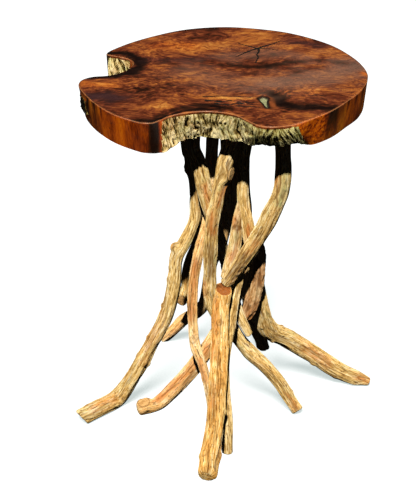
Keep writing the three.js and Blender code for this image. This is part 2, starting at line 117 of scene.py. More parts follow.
# Each branch. route: from the top to the foot, x, y, z and radius. top, foot: where an end stops,
# at the slab, at the floor, or at a plane given by a point and its outward direction. top_worn,
# foot_worn: how far the end is worn round. stubs: side stubs sawn off, start, end and radius.
# nubs: small knots, x, y, z, size and height. fresh: the end whose sawn face is newly cut, and how
# orange it still is. marks: kind, width, strength and the points they pass.
BRANCHES = {
    "leg_left": dict(
        seed=0.4, finish="straw", top="slab",
        route=[(-69, -5, 590, 13), (-63, -7, 515, 12), (-58, -9, 497, 11), (-55, -11, 471, 11),
               (-52, -14, 452, 10), (-50, -16, 432, 10), (-49, -18, 411, 10.5), (-50, -22, 383, 10.5),
               (-58, -27, 360, 11), (-70, -33, 336, 11.5),
               (-83, -37, 313, 12), (-87, -39, 281, 11.5), (-91, -40, 245, 12), (-104, -42, 193, 13),
               (-135, -43, 130, 13.5), (-165, -44, 72, 13.5), (-197, -34, 15.5, 15.5),
               (-227, -68, 14, 15.5), (-268, -110, 14, 15)],
        stubs=[((-79, -36, 326), (-93, -39, 334), 6.5)],
        foot=((-262, -103, 14), (-0.72, -0.45, -0.52)),
        nubs=[(-67, -11, 473, 8, 5), (-111, -40, 214, 4, 3.5), (-143, -56, 100, 4, 2.5),
              (-140, -43, 149, 4, 3), (-138, -48, 95, 4, 3), (-248, -85, 29, 7, 3),
              (-100, -40, 268, 5, 1.5)],
        marks=[("groove", 1.5, 1.0, (-77, -37, 345), (-88, -46, 321), (-97, -44, 282), (-96, -49, 262)),
               ("blush", 16, 0.5, (-118, -49, 189), (-148, -57, 112)),
               ("blush", 12, 0.7, (-206, -52, 26), (-239, -94, 26)),
               ("groove", 1.3, 0.7, (-105, -46, 233), (-122, -50, 179), (-150, -57, 106))],
    ),
    "leg_front": dict(
        seed=1.7, finish="golden", top=((3, -101, 277), (0.06, -0.32, 0.95)), fresh=("top", 1.0),
        top_worn=1.0, foot_worn=8.0,
        route=[(2, -99, 305, 16.5), (0, -101, 268, 16), (-4, -108, 247, 15), (-6, -138, 204, 15),
               (-8, -174, 159, 15.5), (-11, -208, 111, 15.5), (-15, -236, 70, 16), (-22, -264, 40, 17),
               (-28, -296, 16, 19), (-30, -304, 12, 19)],
        nubs=[(-5, -272, 33, 6, 3.0), (-7, -138, 229, 5, 2.2), (-15, -212, 131, 5, 2.2),
              (-32, -281, 45, 6, 2.4), (-41, -274, 36, 5, 3), (2, -225, 96, 5, 3),
              (-12, -148, 214, 4, 1.2)],
        marks=[("groove", 2.6, 3.0, (3, -223, 89), (1, -239, 68), (-3, -254, 50), (-8, -277, 39),
                (-12, -292, 33), (-12, -303, 25)),
               # This brown band across the back of the sawn top is painted shade where brace_right's end
               # meets it
               ("brown", 6.0, 1.0, (-13, -95, 280), (2, -93, 281), (17, -95, 280)),
               ("blush", 10, 0.8, (-14, -113, 261), (-16, -128, 236), (-18, -173, 178)),
               ("blush", 9, 0.6, (-16, -205, 140), (-20, -224, 110)),
               ("bark", 7, 1.0, (-3, -262, 40), (-6, -278, 28)),
               ("groove", 1.4, 0.8, (-3, -129, 241), (-8, -173, 185), (-13, -206, 140))],
    ),
    "leg_prop": dict(
        seed=2.9, finish="straw", foot="floor",
        route=[(33.5, -79, 309, 5), (30.5, -79, 285, 5), (26.5, -80, 264, 5), (22.5, -86, 244, 5.5),
               (19.5, -93, 226, 6), (16.5, -102, 208, 6.5), (13, -111, 193, 7.5), (9, -123, 180, 8),
               (3, -146, 154, 9), (4, -176, 108, 9.5), (7, -194, 70, 10), (8, -200, 20, 10.3),
               (8, -203, -6, 10.5)],
    ),
    "leg_front_left": dict(
        seed=4.1, finish="rosy", top="slab",
        route=[(24, 38, 590, 12), (25, 10, 458, 12), (27, -5, 405, 12), (30, -13, 367, 12),
               (34, -18, 329, 12.5), (36, -20, 294, 12.5), (32, -17, 253, 12.5), (21, -20, 214, 12.5),
               (4, -29, 181, 12.5), (-23, -38, 132, 13), (-51, -48, 91, 13.5), (-90, -54, 46, 13.5),
               (-123, -58, 16, 13.5), (-158, -72, 12, 12.5)],
        foot_worn=6.0,
        stubs=[((-146, -62, 12), (-147, -71, 28), 11)],
        marks=[("blush", 12, 0.8, (-30, -52, 129), (-69, -62, 79), (-120, -64, 31)),
               ("groove", 1.4, 0.8, (-48, -56, 108), (-80, -64, 67), (-113, -65, 36))],
    ),
    "leg_front_right": dict(
        seed=5.3, finish="straw",
        route=[(-7, -74, 254, 12), (6, -68, 208, 12), (24, -60, 163, 12.5), (50, -56, 125, 13.5),
               (81, -55, 93, 13.5), (108, -56, 59, 12.5), (127, -59, 26, 12), (141, -70, 7, 11.5)],
        nubs=[(47, -63, 148, 5, 2.2), (134, -55, 44, 4, 3)],
        marks=[("blush", 10, 0.9, (124, -74, 40), (134, -80, 20)),
               ("groove", 1.3, 0.8, (60, -68, 118), (92, -68, 84), (118, -70, 48))],
    ),
    "leg_right": dict(
        seed=6.2, finish="straw", top="slab",
        route=[(36, 72, 590, 12), (37, 48, 426, 12), (44, 14, 341, 13), (58, -16, 270, 13),
               (70, -10, 197, 15), (86, 14, 137, 17.5), (121, 36, 106, 17), (172, 46, 67, 16.5),
               (223, 50, 27, 16.5), (256, 45, 14, 15), (284, 39, 8, 8)],
        stubs=[((94, 22, 122), (96, 12, 108), 4.5)],
        nubs=[(114, 29, 133, 5, 3.5), (173, 40, 47, 5, 3), (152, 27, 88, 6, 2.5),
              (68, -30, 232, 4, 1.5)],
        marks=[("blush", 12, 0.8, (160, 29, 85), (200, 34, 53)),
               ("blush", 9, 0.9, (262, 35, 23), (280, 34, 15)),
               ("groove", 1.5, 1.0, (68, -25, 196), (87, -8, 148), (120, 16, 113), (165, 29, 80)),
               ("groove", 1.3, 0.8, (131, 23, 94), (189, 32, 51), (234, 34, 26))],
    ),
    "leg_back_left": dict(
        seed=0.9, finish="rosy", top="slab",
        route=[(9, 72, 590, 12), (8, 84, 411, 12), (6, 100, 312, 11.5), (-4, 108, 270, 12),
               (-20, 118, 226, 11.5), (-26, 130, 168, 11), (-41, 168, 99, 11.5), (-75, 204, 56, 11.5),
               (-105, 219, 17, 10.5), (-118, 227, 2, 10.5)],
    ),
    "leg_back_right": dict(
        seed=2.2, finish="grey", top="slab", foot="floor",
        route=[(28, 106, 590, 12), (27, 110, 380, 12), (32, 119, 283, 12), (42, 130, 192, 12.5),
               (55, 148, 118, 13), (66, 168, 63, 13), (79, 186, 18, 13), (84, 193, -6, 13)],
    ),
    "post_crossing": dict(
        seed=3.6, finish="straw", top="slab",
        route=[(-52, -62, 590, 12), (-53, -62, 534, 12), (-45, -61, 511, 12.5), (-38, -60, 480, 13),
               (-33, -60, 447, 13.5),
               (-21, -58, 402, 12), (-7, -16, 340, 11.5), (4, 2, 288, 11.5), (13, -14, 257, 10.5),
               (19, -40, 243, 9.5), (23, -56, 230, 9), (31, -64, 204, 8.5), (49, -67, 166, 7.5)],
        marks=[("blush", 8, 0.9, (-32, -72, 465), (-24, -73, 428), (-22, -70, 400))],
    ),
    "post_front": dict(
        seed=4.8, finish="straw", top="slab",
        route=[(25, -96, 590, 13.5), (16, -97, 561, 14), (5, -98, 526, 14.5), (-3, -99, 493, 13),
               (-11, -99, 454, 12.5), (-18, -98, 421, 13), (-22, -96, 378, 13), (-23, -95, 336, 12),
               (-24, -93, 291, 12), (-22, -92, 250, 12), (-12, -92, 214, 8.5)],
        stubs=[((-1, -97, 503), (14, -104, 502), 14), ((-24, -93, 275), (-34, -96, 274), 11)],
        nubs=[(7, -101, 480, 4, 2.5)],
        marks=[("blush", 8, 1.0, (4, -107, 477), (-2, -110, 464), (-8, -111, 447)),
               ("blush", 7, 1.0, (-20, -111, 430), (-24, -109, 405), (-18, -109, 392)),
               ("groove", 1.6, 1.0, (-8, -111, 453), (-24, -109, 425), (-30, -106, 402)),
               ("groove", 1.3, 0.8, (-12, -109, 420), (-15, -107, 379), (-22, -107, 330)),
               ("blush", 10, 0.9, (-34, -100, 285), (-34, -98, 268)),
               ("brown", 13, 0.7, (-27, -107, 361), (-24, -107, 330), (-22, -105, 299))],
    ),
    "post_thin": dict(
        seed=6.9, finish="rosy", top="slab", foot="floor",
        route=[(-16, -36, 590, 12), (-21, -36, 506, 11.5), (-22, -34, 468, 10), (-24, -33, 419, 9),
               (-31, -38, 375, 8.5), (-43, -62, 336, 8.8), (-51, -72, 297, 9), (-55, -82, 246, 8.8),
               (-54, -90, 199, 8.8), (-50, -98, 162, 9.5), (-38, -108, 128, 9), (-27, -117, 85, 8.5),
               (-17, -119, 12, 8), (-14, -120, -5, 8)],
        nubs=[(-55, -104, 176, 6, 2.5), (-48, -102, 181, 5, 1.5), (-58, -87, 261, 4, 1.5)],
        marks=[("blush", 8, 0.9, (-50, -76, 319), (-56, -88, 263), (-57, -96, 215)),
               ("blush", 8, 0.8, (-44, -114, 140), (-34, -122, 104))],
    ),
    "brace_right": dict(
        seed=1.1, finish="straw", top="slab",
        route=[(100, -129, 590, 13.5), (102, -129, 516, 13.5), (98, -126, 475, 14),
               (84, -119, 437, 14.5), (71, -110, 402, 14.5), (53, -102, 365, 14), (34, -97, 331, 14),
               (15, -88, 297, 13), (6, -84, 281, 12)],
        marks=[("lichen", 9, 1.0, (108, -141, 520), (106, -141, 484), (97, -138, 460)),
               ("bark", 7, 1.0, (107, -141, 524), (105, -141, 486), (98, -138, 466)),
               ("blush", 7, 0.9, (91, -137, 522), (90, -137, 494)),
               ("groove", 1.8, 1.3, (91, -140, 500), (93, -135, 455), (83, -126, 410), (73, -117, 382)),
               ("groove", 2.2, 1.8, (38, -105, 365), (22, -105, 331), (5, -97, 296)),
               ("bark", 9, 1.0, (34, -111, 328), (20, -102, 299), (14, -99, 288)),
               ("brown", 10, 0.8, (40, -113, 347), (22, -106, 310)),
               ("blush", 9, 0.7, (58, -119, 376), (44, -114, 353))],
    ),
    "post_middle": dict(
        seed=5.9, finish="straw", top="slab",
        route=[(40, -50, 590, 14.5), (35, -50, 506, 12), (35, -52, 463, 9.5), (37, -56, 422, 10),
               (43, -66, 390, 11.5), (50, -77, 353, 11)],
        marks=[("blush", 7, 0.9, (44, -78, 389), (46, -84, 367)),
               ("groove", 1.4, 0.8, (42, -58, 459), (44, -64, 420), (41, -77, 392))],
    ),
    "brace_crook": dict(
        seed=3.1, finish="grey",
        route=[(33, -50, 427, 7), (29, -58, 405, 10), (24, -66, 372, 12.5), (19, -72, 343, 12.5),
               (13, -80, 318, 11.5), (4, -86, 290, 9)],
        nubs=[(25, -74, 388, 6, 2.5)],
        marks=[("blush", 6, 1.0, (20, -66, 402), (18, -70, 391)),
               ("groove", 2.4, 2.6, (16, -71, 383), (24, -73, 389), (30, -74, 385)),
               ("groove", 1.8, 1.6, (22, -68, 401), (26, -72, 396)),
               ("lichen", 9, 0.5, (22, -79, 372), (14, -81, 351)),
               ("bark", 8, 0.8, (26, -78, 384), (20, -80, 362)),
               ("blush", 7, 0.8, (25, -82, 355), (14, -88, 330))],
    ),
    "brace_bark": dict(
        seed=0.2, finish="barked",
        route=[(58, -62, 364, 9), (64, -60, 335, 12), (64, -56, 306, 12.5), (62, -48, 269, 12.5),
               (56, -41, 231, 13), (48, -38, 205, 12), (40, -38, 187, 9)],
    ),
    "stub_left": dict(
        seed=2.5, finish="golden", top="slab", fresh=("foot", 0.2),
        foot_worn=1.0,
        route=[(-57, 70, 590, 11), (-50, 90, 428, 11.5), (-38, 106, 329, 11), (-41, 114, 282, 11.5),
               (-55, 121, 235, 12), (-64, 125, 199, 12.5), (-67, 125, 171, 11.5), (-72, 125, 151, 12),
               (-79, 122, 140, 11.5), (-91, 116, 132, 11)],
        foot=((-79, 122, 140), (-0.5, -0.8, -0.33)),
    ),
}

# What shows on the oiled top: kind, width, strength and the points it runs through. A tone is
# lighter or, below nothing, darker; cool is a plum cast, haze a painted pale sheen and ember a golden
# glow; curl brings out the burl's small curls, and rings the growth rings.
TOP_FIGURE = [
    ("tone", 11, -0.55, (-214, 134), (-190, 136), (-168, 130), (-150, 102), (-148, 66), (-164, 34)),
    ("tone", 8, -0.50, (-170, 28), (-188, 16), (-210, 8), (-236, 2)),
    ("tone", 16, -0.16, (-136, 92), (-112, 97), (-70, 97), (-27, 108)),
    ("tone", 4, -0.50, (-116, -208), (-96, -182), (-70, -160), (-40, -150), (-8, -150)),
    ("tone", 9, -0.28, (-112, -186), (-78, -147), (-51, -130), (-22, -134), (8, -146)),
    ("tone", 11, -0.24, (-6, 71), (30, 65), (65, 57), (119, 84), (182, 100), (241, 63)),
    ("tone", 10, -0.16, (101, -2), (127, 29), (153, 55)),
    ("tone", 15, -0.44, (86, -78), (96, -122), (130, -143), (182, -147)),
    ("tone", 14, -0.36, (-240, -88), (-208, -83), (-190, -95)),
    ("tone", 60, -0.07, (-200, -40), (-120, -50)),
    ("tone", 15, -0.26, (131, 200), (149, 195), (172, 178)),
    ("tone", 12, -0.16, (-100, 258), (-40, 278), (30, 272)),
    ("tone", 11, -0.26, (-150, -206), (-132, -200), (-120, -206)),
    ("tone", 28, 0.08, (-140, 180), (-75, 182), (-36, 172), (-23, 180)),
    ("tone", 15, 0.14, (-238, -28), (-218, -28), (-187, -38)),
    ("tone", 16, 0.16, (18, 246), (44, 249), (69, 244)),
    ("tone", 11, 0.10, (-177, -145), (-125, -140), (-61, -130)),
    ("tone", 10, 0.16, (-69, 23), (-41, 39), (-9, 49)),
    ("tone", 9, 0.08, (-111, -18), (-76, -13), (-36, 3)),
    ("tone", 18, 0.10, (139, -58), (173, -58), (205, -68)),
    ("tone", 7, 0.26, (246, 30), (254, 20)),
    ("tone", 8, 0.20, (52, -98), (60, -84), (76, -86)),
    ("tone", 6, 0.28, (-22, -98), (10, -96), (43, -98)),
    ("cool", 20, 0.9, (-240, -92), (-205, -86), (-186, -98)),
    ("haze", 46, 0.75, (110, -20), (190, 20), (236, 60)),
    ("haze", 40, 0.4, (-60, 40), (0, -20), (60, -40)),
    ("haze", 30, 0.45, (20, 120), (90, 140), (150, 110)),
    ("cool", 22, 0.4, (205, 60), (240, 66)),
    ("cool", 18, 0.5, (131, 200), (149, 195), (172, 178)),
    ("cool", 14, 0.4, (-130, 100), (-70, 99), (-20, 108)),
    ("ember", 16, 0.35, (-238, -28), (-190, -36)),
    ("ember", 24, 0.45, (-120, 180), (-60, 182)),
    ("ember", 18, 0.4, (100, -70), (150, -64)),
    ("ember", 7, 0.8, (246, 30), (254, 20)),
    ("curl", 22, 0.8, (92, -64), (150, -64)),
    ("curl", 30, 0.5, (-180, -60), (-110, -30)),
    ("curl", 34, 0.25, (-120, 180), (0, 175)),
    ("rings", 52, 1.0, ROOT_HEART),
    ("rings", 24, 0.7, (68, -108)),
]
# The same on the sawn wall, by where it stands in plan
WALL_FIGURE = [
    ("tone", 3.5, -0.55, (-119, -214), (-113, -209)),
    ("tone", 3.5, 0.14, (-106, -202), (-101, -196)),
    ("ember", 4, 1.2, (-106, -202), (-101, -196)),
    ("tone", 22, -0.10, (-150, -206), (-130, -214)),
    ("ember", 34, 0.9, (-205, -150), (-150, -206)),
    ("tone", 30, 0.12, (-200, -155), (-150, -206)),
    ("tone", 3, -0.55, (-235, -90)),
    ("tone", 3, 0.32, (-229, -104)),
    ("tone", 3, -0.50, (-222, -118)),
    ("tone", 3, 0.26, (-215, -132)),
    ("tone", 2, -0.40, (-208, -140)),
    ("tone", 22, 0.19, (132, -206), (160, -182)),
    ("ember", 26, 1.2, (130, -208), (162, -180)),
    ("curl", 26, 1.1, (130, -208), (162, -180)),
    ("tone", 9, -0.38, (180, -158), (192, -142)),
    ("tone", 4, -0.34, (214, -106)),
    ("tone", 4, -0.30, (230, -78)),
    ("tone", 5, -0.42, (244, -44)),
    ("tone", 6, -0.26, (256, 0)),
    ("ember", 20, 0.5, (218, -98), (236, -64)),
    ("tone", 14, -0.4, (-213, 130)),
    ("ember", 9, 0.9, (-166, 92)),
]
# Each drying crack: how wide and how deep it is at its root, and the points it runs through
CRACKS = [
    (8.0, 0.8, (60, 158), (74, 172), (92, 187), (108, 205)),
    (7.0, 0.7, (68, 164), (50, 148), (38, 134), (24, 115)),
    (5.5, 0.7, (66, 164), (66, 144), (62, 128), (64, 112), (58, 82)),
    (6.4, 0.5, (64, 160), (54, 170), (40, 180), (30, 190)),
    (6.0, 0.5, (66, 162), (84, 160), (100, 152)),
]
# Half the width of a crack's narrow end: a finer one would be lost between the mesh's points
CRACK_TIP = 1.6
# How the faces of the top beside a cut are split, coarse to fine: the cuts in each edge, how near
# the cut the face is, and the longest edge that stays whole
TOP_SPLITS = [(2, 22, 1.5), (1, 14, 1.5), (1, 6, 0.8)]
KNOT_HOLE = dict(at=(68, -106), tail=(73, -143), width=9.0, depth=6.0)
# Splits in the torn patch beside the knot hole, given like the cracks
FISSURES = [
    (8.0, 0.8, (-30, -106), (-6, -112), (16, -108), (40, -114)),
    (7.4, 0.8, (-14, -122), (8, -126), (30, -122), (52, -128)),
    (6.6, 0.7, (24, -116), (44, -120), (58, -116)),
    (7.0, 0.7, (22, -134), (44, -136), (60, -142)),
    (6.0, 0.6, (-34, -90), (-4, -86), (24, -88), (46, -94)),
]
# The torn patch itself: its middle, its half width and half depth, and how deep it is torn
TORN_PATCH = dict(at=(15, -118), reach=(44, 20), depth=1.1)


# Colour, noise and curve helpers


def linear(hex_colour):
    """An sRGB hex colour as the linear red, green and blue that Blender works in."""
    parts = [int(hex_colour[i:i + 2], 16) / 255 for i in (1, 3, 5)]
    return tuple(p / 12.92 if p <= 0.04045 else ((p + 0.055) / 1.055) ** 2.4 for p in parts)


def opaque(hex_colour):
    """The same colour as the four numbers that a socket takes."""
    return (*linear(hex_colour), 1.0)


def smooth_step(low, high, value):
    """0 up to low, 1 from high on, and a soft rise between them."""
    share = np.clip((value - low) / (high - low), 0, 1)
    return share * share * (3 - 2 * share)


def bell(value):
    """1 at 0, falling off softly to nothing about two units away on either side."""
    return np.exp(-value**2)


def lattice_value(ix, iy, iz, seed):
    """A repeatable random number from 0 to 1 for each point of a whole-number lattice.

    The big odd numbers only scramble the bits of the point's place and the seed.
    """
    mixed = ix.astype(np.uint32) * np.uint32(73856093)
    mixed ^= iy.astype(np.uint32) * np.uint32(19349663)
    mixed ^= iz.astype(np.uint32) * np.uint32(83492791)
    mixed ^= np.uint32((seed * 2654435761) % 4294967296)
    mixed = (mixed ^ (mixed >> np.uint32(13))) * np.uint32(1274126177)
    mixed = (mixed ^ (mixed >> np.uint32(16))) * np.uint32(2246822519)
    return (mixed >> np.uint32(8)).astype(np.float64) / 16777216


def noise(x, y, z, seed):
    """Smooth noise from 0 to 1 with lumps about one unit across, a pattern of its own to each seed."""
    x, y, z = np.broadcast_arrays(x, y, z)
    base = [np.floor(v).astype(np.int64) for v in (x, y, z)]
    part = [smooth_step(0, 1, v - b) for v, b in zip((x, y, z), base)]
    total = np.zeros(x.shape)
    for corner in range(8):
        step = (corner & 1, corner >> 1 & 1, corner >> 2 & 1)
        weight = np.ones(x.shape)
        for share, s in zip(part, step):
            weight = weight * (share if s else 1 - share)
        total += weight * lattice_value(base[0] + step[0], base[1] + step[1], base[2] + step[2], seed)
    return total


def folded(values):
    """Noise folded into sharp crests: 1 on a crest, 0 far from any."""
    return 1 - np.abs(2 * values - 1)


def spline(points, closed, per_span):
    """A centripetal curve through the points, as rows of places and of positions in the list."""
    points = np.asarray(points, float)
    count = len(points)
    spans = count if closed else count - 1
    places = []
    for i in range(spans):
        if closed:
            p0, p1, p2, p3 = (points[(i + k) % count] for k in (-1, 0, 1, 2))
        else:
            p1, p2 = points[i], points[i + 1]
            p0 = points[i - 1] if i else 2 * p1 - p2
            p3 = points[i + 2] if i + 2 < count else 2 * p2 - p1
        gaps = [max(np.sqrt(np.linalg.norm(b - a)), 1e-4) for a, b in ((p0, p1), (p1, p2), (p2, p3))]
        start = (p1 - p0) / gaps[0] - (p2 - p0) / (gaps[0] + gaps[1]) + (p2 - p1) / gaps[1]
        end = (p2 - p1) / gaps[1] - (p3 - p1) / (gaps[1] + gaps[2]) + (p3 - p2) / gaps[2]
        start, end = start * gaps[1], end * gaps[1]
        t = np.arange(per_span)[:, None] / per_span
        places.append(p1 + start * t + (3 * (p2 - p1) - 2 * start - end) * t**2
                      + (2 * (p1 - p2) + start + end) * t**3)
    places = np.concatenate(places)
    positions = np.arange(len(places)) / per_span
    if not closed:
        places = np.vstack([places, points[-1]])
        positions = np.append(positions, count - 1)
    return places, positions


def path_distance(places, points):
    """How far each place is from a bent line through the points, and how far along it that is."""
    points = np.asarray(points, float)
    if len(points) == 1:
        return np.linalg.norm(places - points[0], axis=-1), np.zeros(places.shape[:-1])
    nearest = np.full(places.shape[:-1], np.inf)
    share = np.zeros(places.shape[:-1])
    for i, (a, b) in enumerate(zip(points[:-1], points[1:])):
        t = np.clip(((places - a) @ (b - a)) / ((b - a) @ (b - a)), 0, 1)
        distance = np.linalg.norm(places - a - t[..., None] * (b - a), axis=-1)
        closer = distance < nearest
        nearest = np.where(closer, distance, nearest)
        share = np.where(closer, (i + t) / (len(points) - 1), share)
    return nearest, share


def unit(vectors):
    """The same directions, each one unit long."""
    return vectors / np.linalg.norm(vectors, axis=-1, keepdims=True)


# Meshes


def frame_shift():
    """What moves the woodworker's places onto the frame's origin, in millimetres."""
    outline = spline(np.array(SLAB_OUTLINE)[:, :2], True, CAD_OUTLINE_STEPS)[0]
    low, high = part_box("tabletop_slab")
    middle = (np.array(low[:2]) + np.array(high[:2])) / 2 / MM
    return np.append(middle - (outline.min(0) + outline.max(0)) / 2, 0.0)


SHIFT = frame_shift()


def write_attributes(mesh, attributes):
    """Give every vertex its values, single numbers or vectors, for the materials to read."""
    for name, values in attributes.items():
        kind, key = ("FLOAT_VECTOR", "vector") if values.ndim == 2 else ("FLOAT", "value")
        layer = mesh.attributes.new(name, kind, "POINT")
        layer.data.foreach_set(key, values.astype(np.float32).ravel())


def read_values(items, key, kind=float, each=1):
    """The value under one key of every item of a mesh, in a row; each is how many numbers it has."""
    values = np.empty(len(items) * each, kind)
    items.foreach_get(key, values)
    return values


def read_places(mesh):
    """The mesh's places in millimetres, back on the woodworker's origin."""
    return read_values(mesh.vertices, "co", each=3).reshape(-1, 3) / MM - SHIFT


def write_places(mesh, places):
    """Put the mesh's points at these places, given in millimetres on the woodworker's origin."""
    mesh.vertices.foreach_set("co", ((places + SHIFT) * MM).astype(np.float32).ravel())


def wrapped_grid(name, places, attributes):
    """A grid bent round into one closed skin: row 0 and the last row are its two poles."""
    rows, columns = places.shape[0] - 1, places.shape[1]
    grid = bmesh.new()
    bmesh.ops.create_grid(grid, x_segments=columns, y_segments=rows, size=1)
    mesh = bpy.data.meshes.new(name)
    grid.to_mesh(mesh)
    flat = read_values(mesh.vertices, "co", each=3)
    column = np.rint((flat[0::3] + 1) * columns / 2).astype(int) % columns
    row = np.rint((flat[1::3] + 1) * rows / 2).astype(int)
    write_places(mesh, places[row, column])
    write_attributes(mesh, {key: values[row, column] for key, values in attributes.items()})
    grid.free()
    close_skin(mesh)
    return mesh


def close_skin(mesh):
    """Join the grid's meeting edges and poles into one skin whose faces point outwards."""
    skin = bmesh.new()
    skin.from_mesh(mesh)
    bmesh.ops.remove_doubles(skin, verts=skin.verts, dist=1e-6)
    bmesh.ops.recalc_face_normals(skin, faces=skin.faces)
    skin.to_mesh(mesh)
    skin.free()


def finish_piece(name, mesh, materials):
    """Put the finished skin in the scene in place of its solid."""
    mesh.polygons.foreach_set("use_smooth", np.ones(len(mesh.polygons), bool))
    for material in materials:
        mesh.materials.append(material)
    piece = bpy.data.objects.new(name + "_wood", mesh)
    bpy.context.scene.collection.objects.link(piece)
    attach(piece, "root")
    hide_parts(name)


# Branches


def branch_line(route):
    """Stations a millimetre apart along a route, with the two directions square to it there."""
    rows = np.array(route, float)
    places, positions = spline(rows[:, :3], False, ROUTE_STEPS)
    travelled = np.append(0, np.cumsum(np.linalg.norm(np.diff(places, axis=0), axis=1)))
    along = np.linspace(0, travelled[-1], int(travelled[-1]) + 1)
    centre = np.stack([np.interp(along, travelled, places[:, k]) for k in range(3)], 1)
    radius = np.interp(np.interp(along, travelled, positions), np.arange(len(rows)), rows[:, 3])
    heading = unit(np.gradient(centre, axis=0))
    lightest = np.zeros(3)
    lightest[np.argmin(np.abs(heading[0]))] = 1
    side = np.empty_like(centre)
    side[0] = np.cross(heading[0], unit(np.cross(heading[0], lightest)))
    for i in range(1, len(along)):
        side[i] = unit(side[i - 1] - (side[i - 1] @ heading[i]) * heading[i])
    return dict(along=along, centre=centre, radius=radius, side=side, other=np.cross(heading, side))


def swelling(seed, angle, along):
    """How far a branch swells or shrinks, as a share of its radius, round and along it."""
    return (1 + 0.055 * np.sin(2 * angle + 0.016 * along + seed)
            + 0.035 * np.sin(3 * angle - 0.027 * along + 2.1 * seed)
            + 0.03 * np.sin(0.075 * along + 1.7 * seed))


def station_values(line, key, along):
    """What a branch's stations hold under one key, at any distance along it."""
    values = line[key]
    if values.ndim == 1:
        return np.interp(along, line["along"], values)
    return np.stack([np.interp(along, line["along"], values[:, k]) for k in range(3)], -1)


def skin_places(line, seed, angle, along):
    """Places on a branch's smooth skin, the way outward there, and its radius."""
    radius = station_values(line, "radius", along) * swelling(seed, angle, along)
    outward = (station_values(line, "side", along) * np.cos(angle)[..., None]
               + station_values(line, "other", along) * np.sin(angle)[..., None])
    return station_values(line, "centre", along) + radius[..., None] * outward, outward, radius


def end_plane(end):
    """A point and the outward direction of the plane that a branch's end is cut on."""
    if end == "slab":
        return (0, 0, SLAB_UNDERSIDE - JOINT_GAP), (0, 0, 1)
    if end == "floor":
        return (0, 0, 0), (0, 0, -1)
    return end


def plane_crossings(line, seed, angles, end, at_top):
    """Where along the branch each lengthwise line of its skin meets an end plane."""
    last = line["along"][-1]
    if end is None:
        return np.full(len(angles), 0.0 if at_top else last)
    at, normal = (np.array(v, float) for v in end_plane(end))
    along, angle = np.meshgrid(line["along"], angles, indexing="ij")
    places = skin_places(line, seed, angle, along)[0]
    beyond = (places - at) @ normal
    if not at_top:
        beyond = beyond[::-1]
    beyond = beyond[:len(beyond) // 2 + SEARCH_PAST_MIDDLE]
    outside = beyond > 0
    step = np.where(outside.any(0), len(beyond) - 1 - np.argmax(outside[::-1], axis=0), 0)
    columns = np.arange(len(angles))
    here, there = beyond[step, columns], beyond[np.minimum(step + 1, len(beyond) - 1), columns]
    crossing = np.where(outside.any(0), step + here / np.maximum(here - there, 1e-6), 0.0)
    crossing = crossing * line["along"][1]
    return crossing if at_top else last - crossing


def first_seed(branch):
    """The first of a branch's own noise seeds."""
    return int(branch["seed"] * 100)


def grain_noise(grain, size, seed):
    """Noise from 0 to 1 that runs with a branch's grain, its lumps as wide and as long as size."""
    across, lengthwise = size
    return noise(grain[..., 0] / across, grain[..., 1] / across, grain[..., 2] / lengthwise, seed)


# How wide and how long the features of a branch are, in millimetres. The weathered grain has
# flutes, ridges, fibres, lumps, drying splits, and stretches where the splits are open.
GRAIN_SIZES = [(6.5, 130), (2.6, 42), (1.5, 18), (12, 24), (5, 75), (9, 60)]
MARK_EDGE = (3, 9)
MARK_STREAKS = (2.4, 20)
BARK_PATCHES = (14, 30)
BARK_PLATES = (7, 22)
BARK_CRUMBS = (2.4, 4.5)


def weathered_relief(grain, seed, depth):
    """Height of the weathered grain, in millimetres, and the painted shade of its hollows and open splits.
    """
    *features, stretches = (grain_noise(grain, size, seed + i) for i, size in enumerate(GRAIN_SIZES))
    flutes, ridges, fibres, lumps, splits = (values - 0.5 for values in features)
    checks = smooth_step(0.45, 0.7, stretches) * (1 - smooth_step(0.0, 0.045, np.abs(splits)))
    height = depth * (2.6 * flutes + 1.5 * ridges + 0.7 * fibres + 1.0 * lumps - 1.3 * checks)
    # Painted shade: the lower the grain and the more open a split, the darker its colour
    hollow = np.clip(0.25 - 1.6 * ridges - 0.9 * flutes - 0.8 * fibres, 0, 1)
    return height, np.maximum(0.75 * hollow, checks)


def bark_flakes(grain, seed):
    """Broken plates of bark: flat tops with torn edges."""
    plates = folded(grain_noise(grain, BARK_PLATES, seed))
    crumbs = grain_noise(grain, BARK_CRUMBS, seed + 1)
    return 2.2 * (smooth_step(0.45, 0.75, plates) - 0.5) + 1.6 * (crumbs - 0.5)


def raise_stub(places, start, end, radius):
    """Pull the skin out into a sawn-off side stub; also says where its face is and where painted shade
    rings its edge.

    Shares of the radius say where the face rounds over and where the side flares into the branch.
    """
    start, end = np.array(start, float), np.array(end, float)
    direction = unit(end - start)
    offset = places - start
    height = offset @ direction
    aside = np.linalg.norm(offset - height[..., None] * direction, axis=-1)
    face = np.linalg.norm(end - start) - 1.6 * smooth_step(0.72 * radius, 1.02 * radius, aside)
    face = face - 0.5 * np.cos(aside * 2.6)
    reach = (1 - smooth_step(0.94 * radius, 1.9 * radius, aside))**1.6 * smooth_step(0, 4, height)
    lift = reach * np.maximum(face - height, 0)
    sawn = (1 - smooth_step(0.8 * radius, 0.95 * radius, aside)) * smooth_step(0, 4, height)
    # Painted shade: a dark ring round the edge of the sawn face
    edge = bell((aside - 0.97 * radius) / 1.3) * smooth_step(2, 6, height)
    return places + lift[..., None] * direction, sawn, edge


def random_knots(line, seed):
    """Small knots left by twigs, spread along a branch: along, angle, size and height."""
    dice = np.random.default_rng(int(seed * 1000) + 7)
    knots = []
    along = 30 + 40 * dice.random()
    while along < line["along"][-1] - KNOT_FREE_FOOT:
        angle = dice.random() * 2 * np.pi
        size = 3.0 + 2.5 * dice.random()
        knots.append((along, angle, size, 0.8 + 1.4 * dice.random()))
        along += 45 + 60 * dice.random()
    return knots


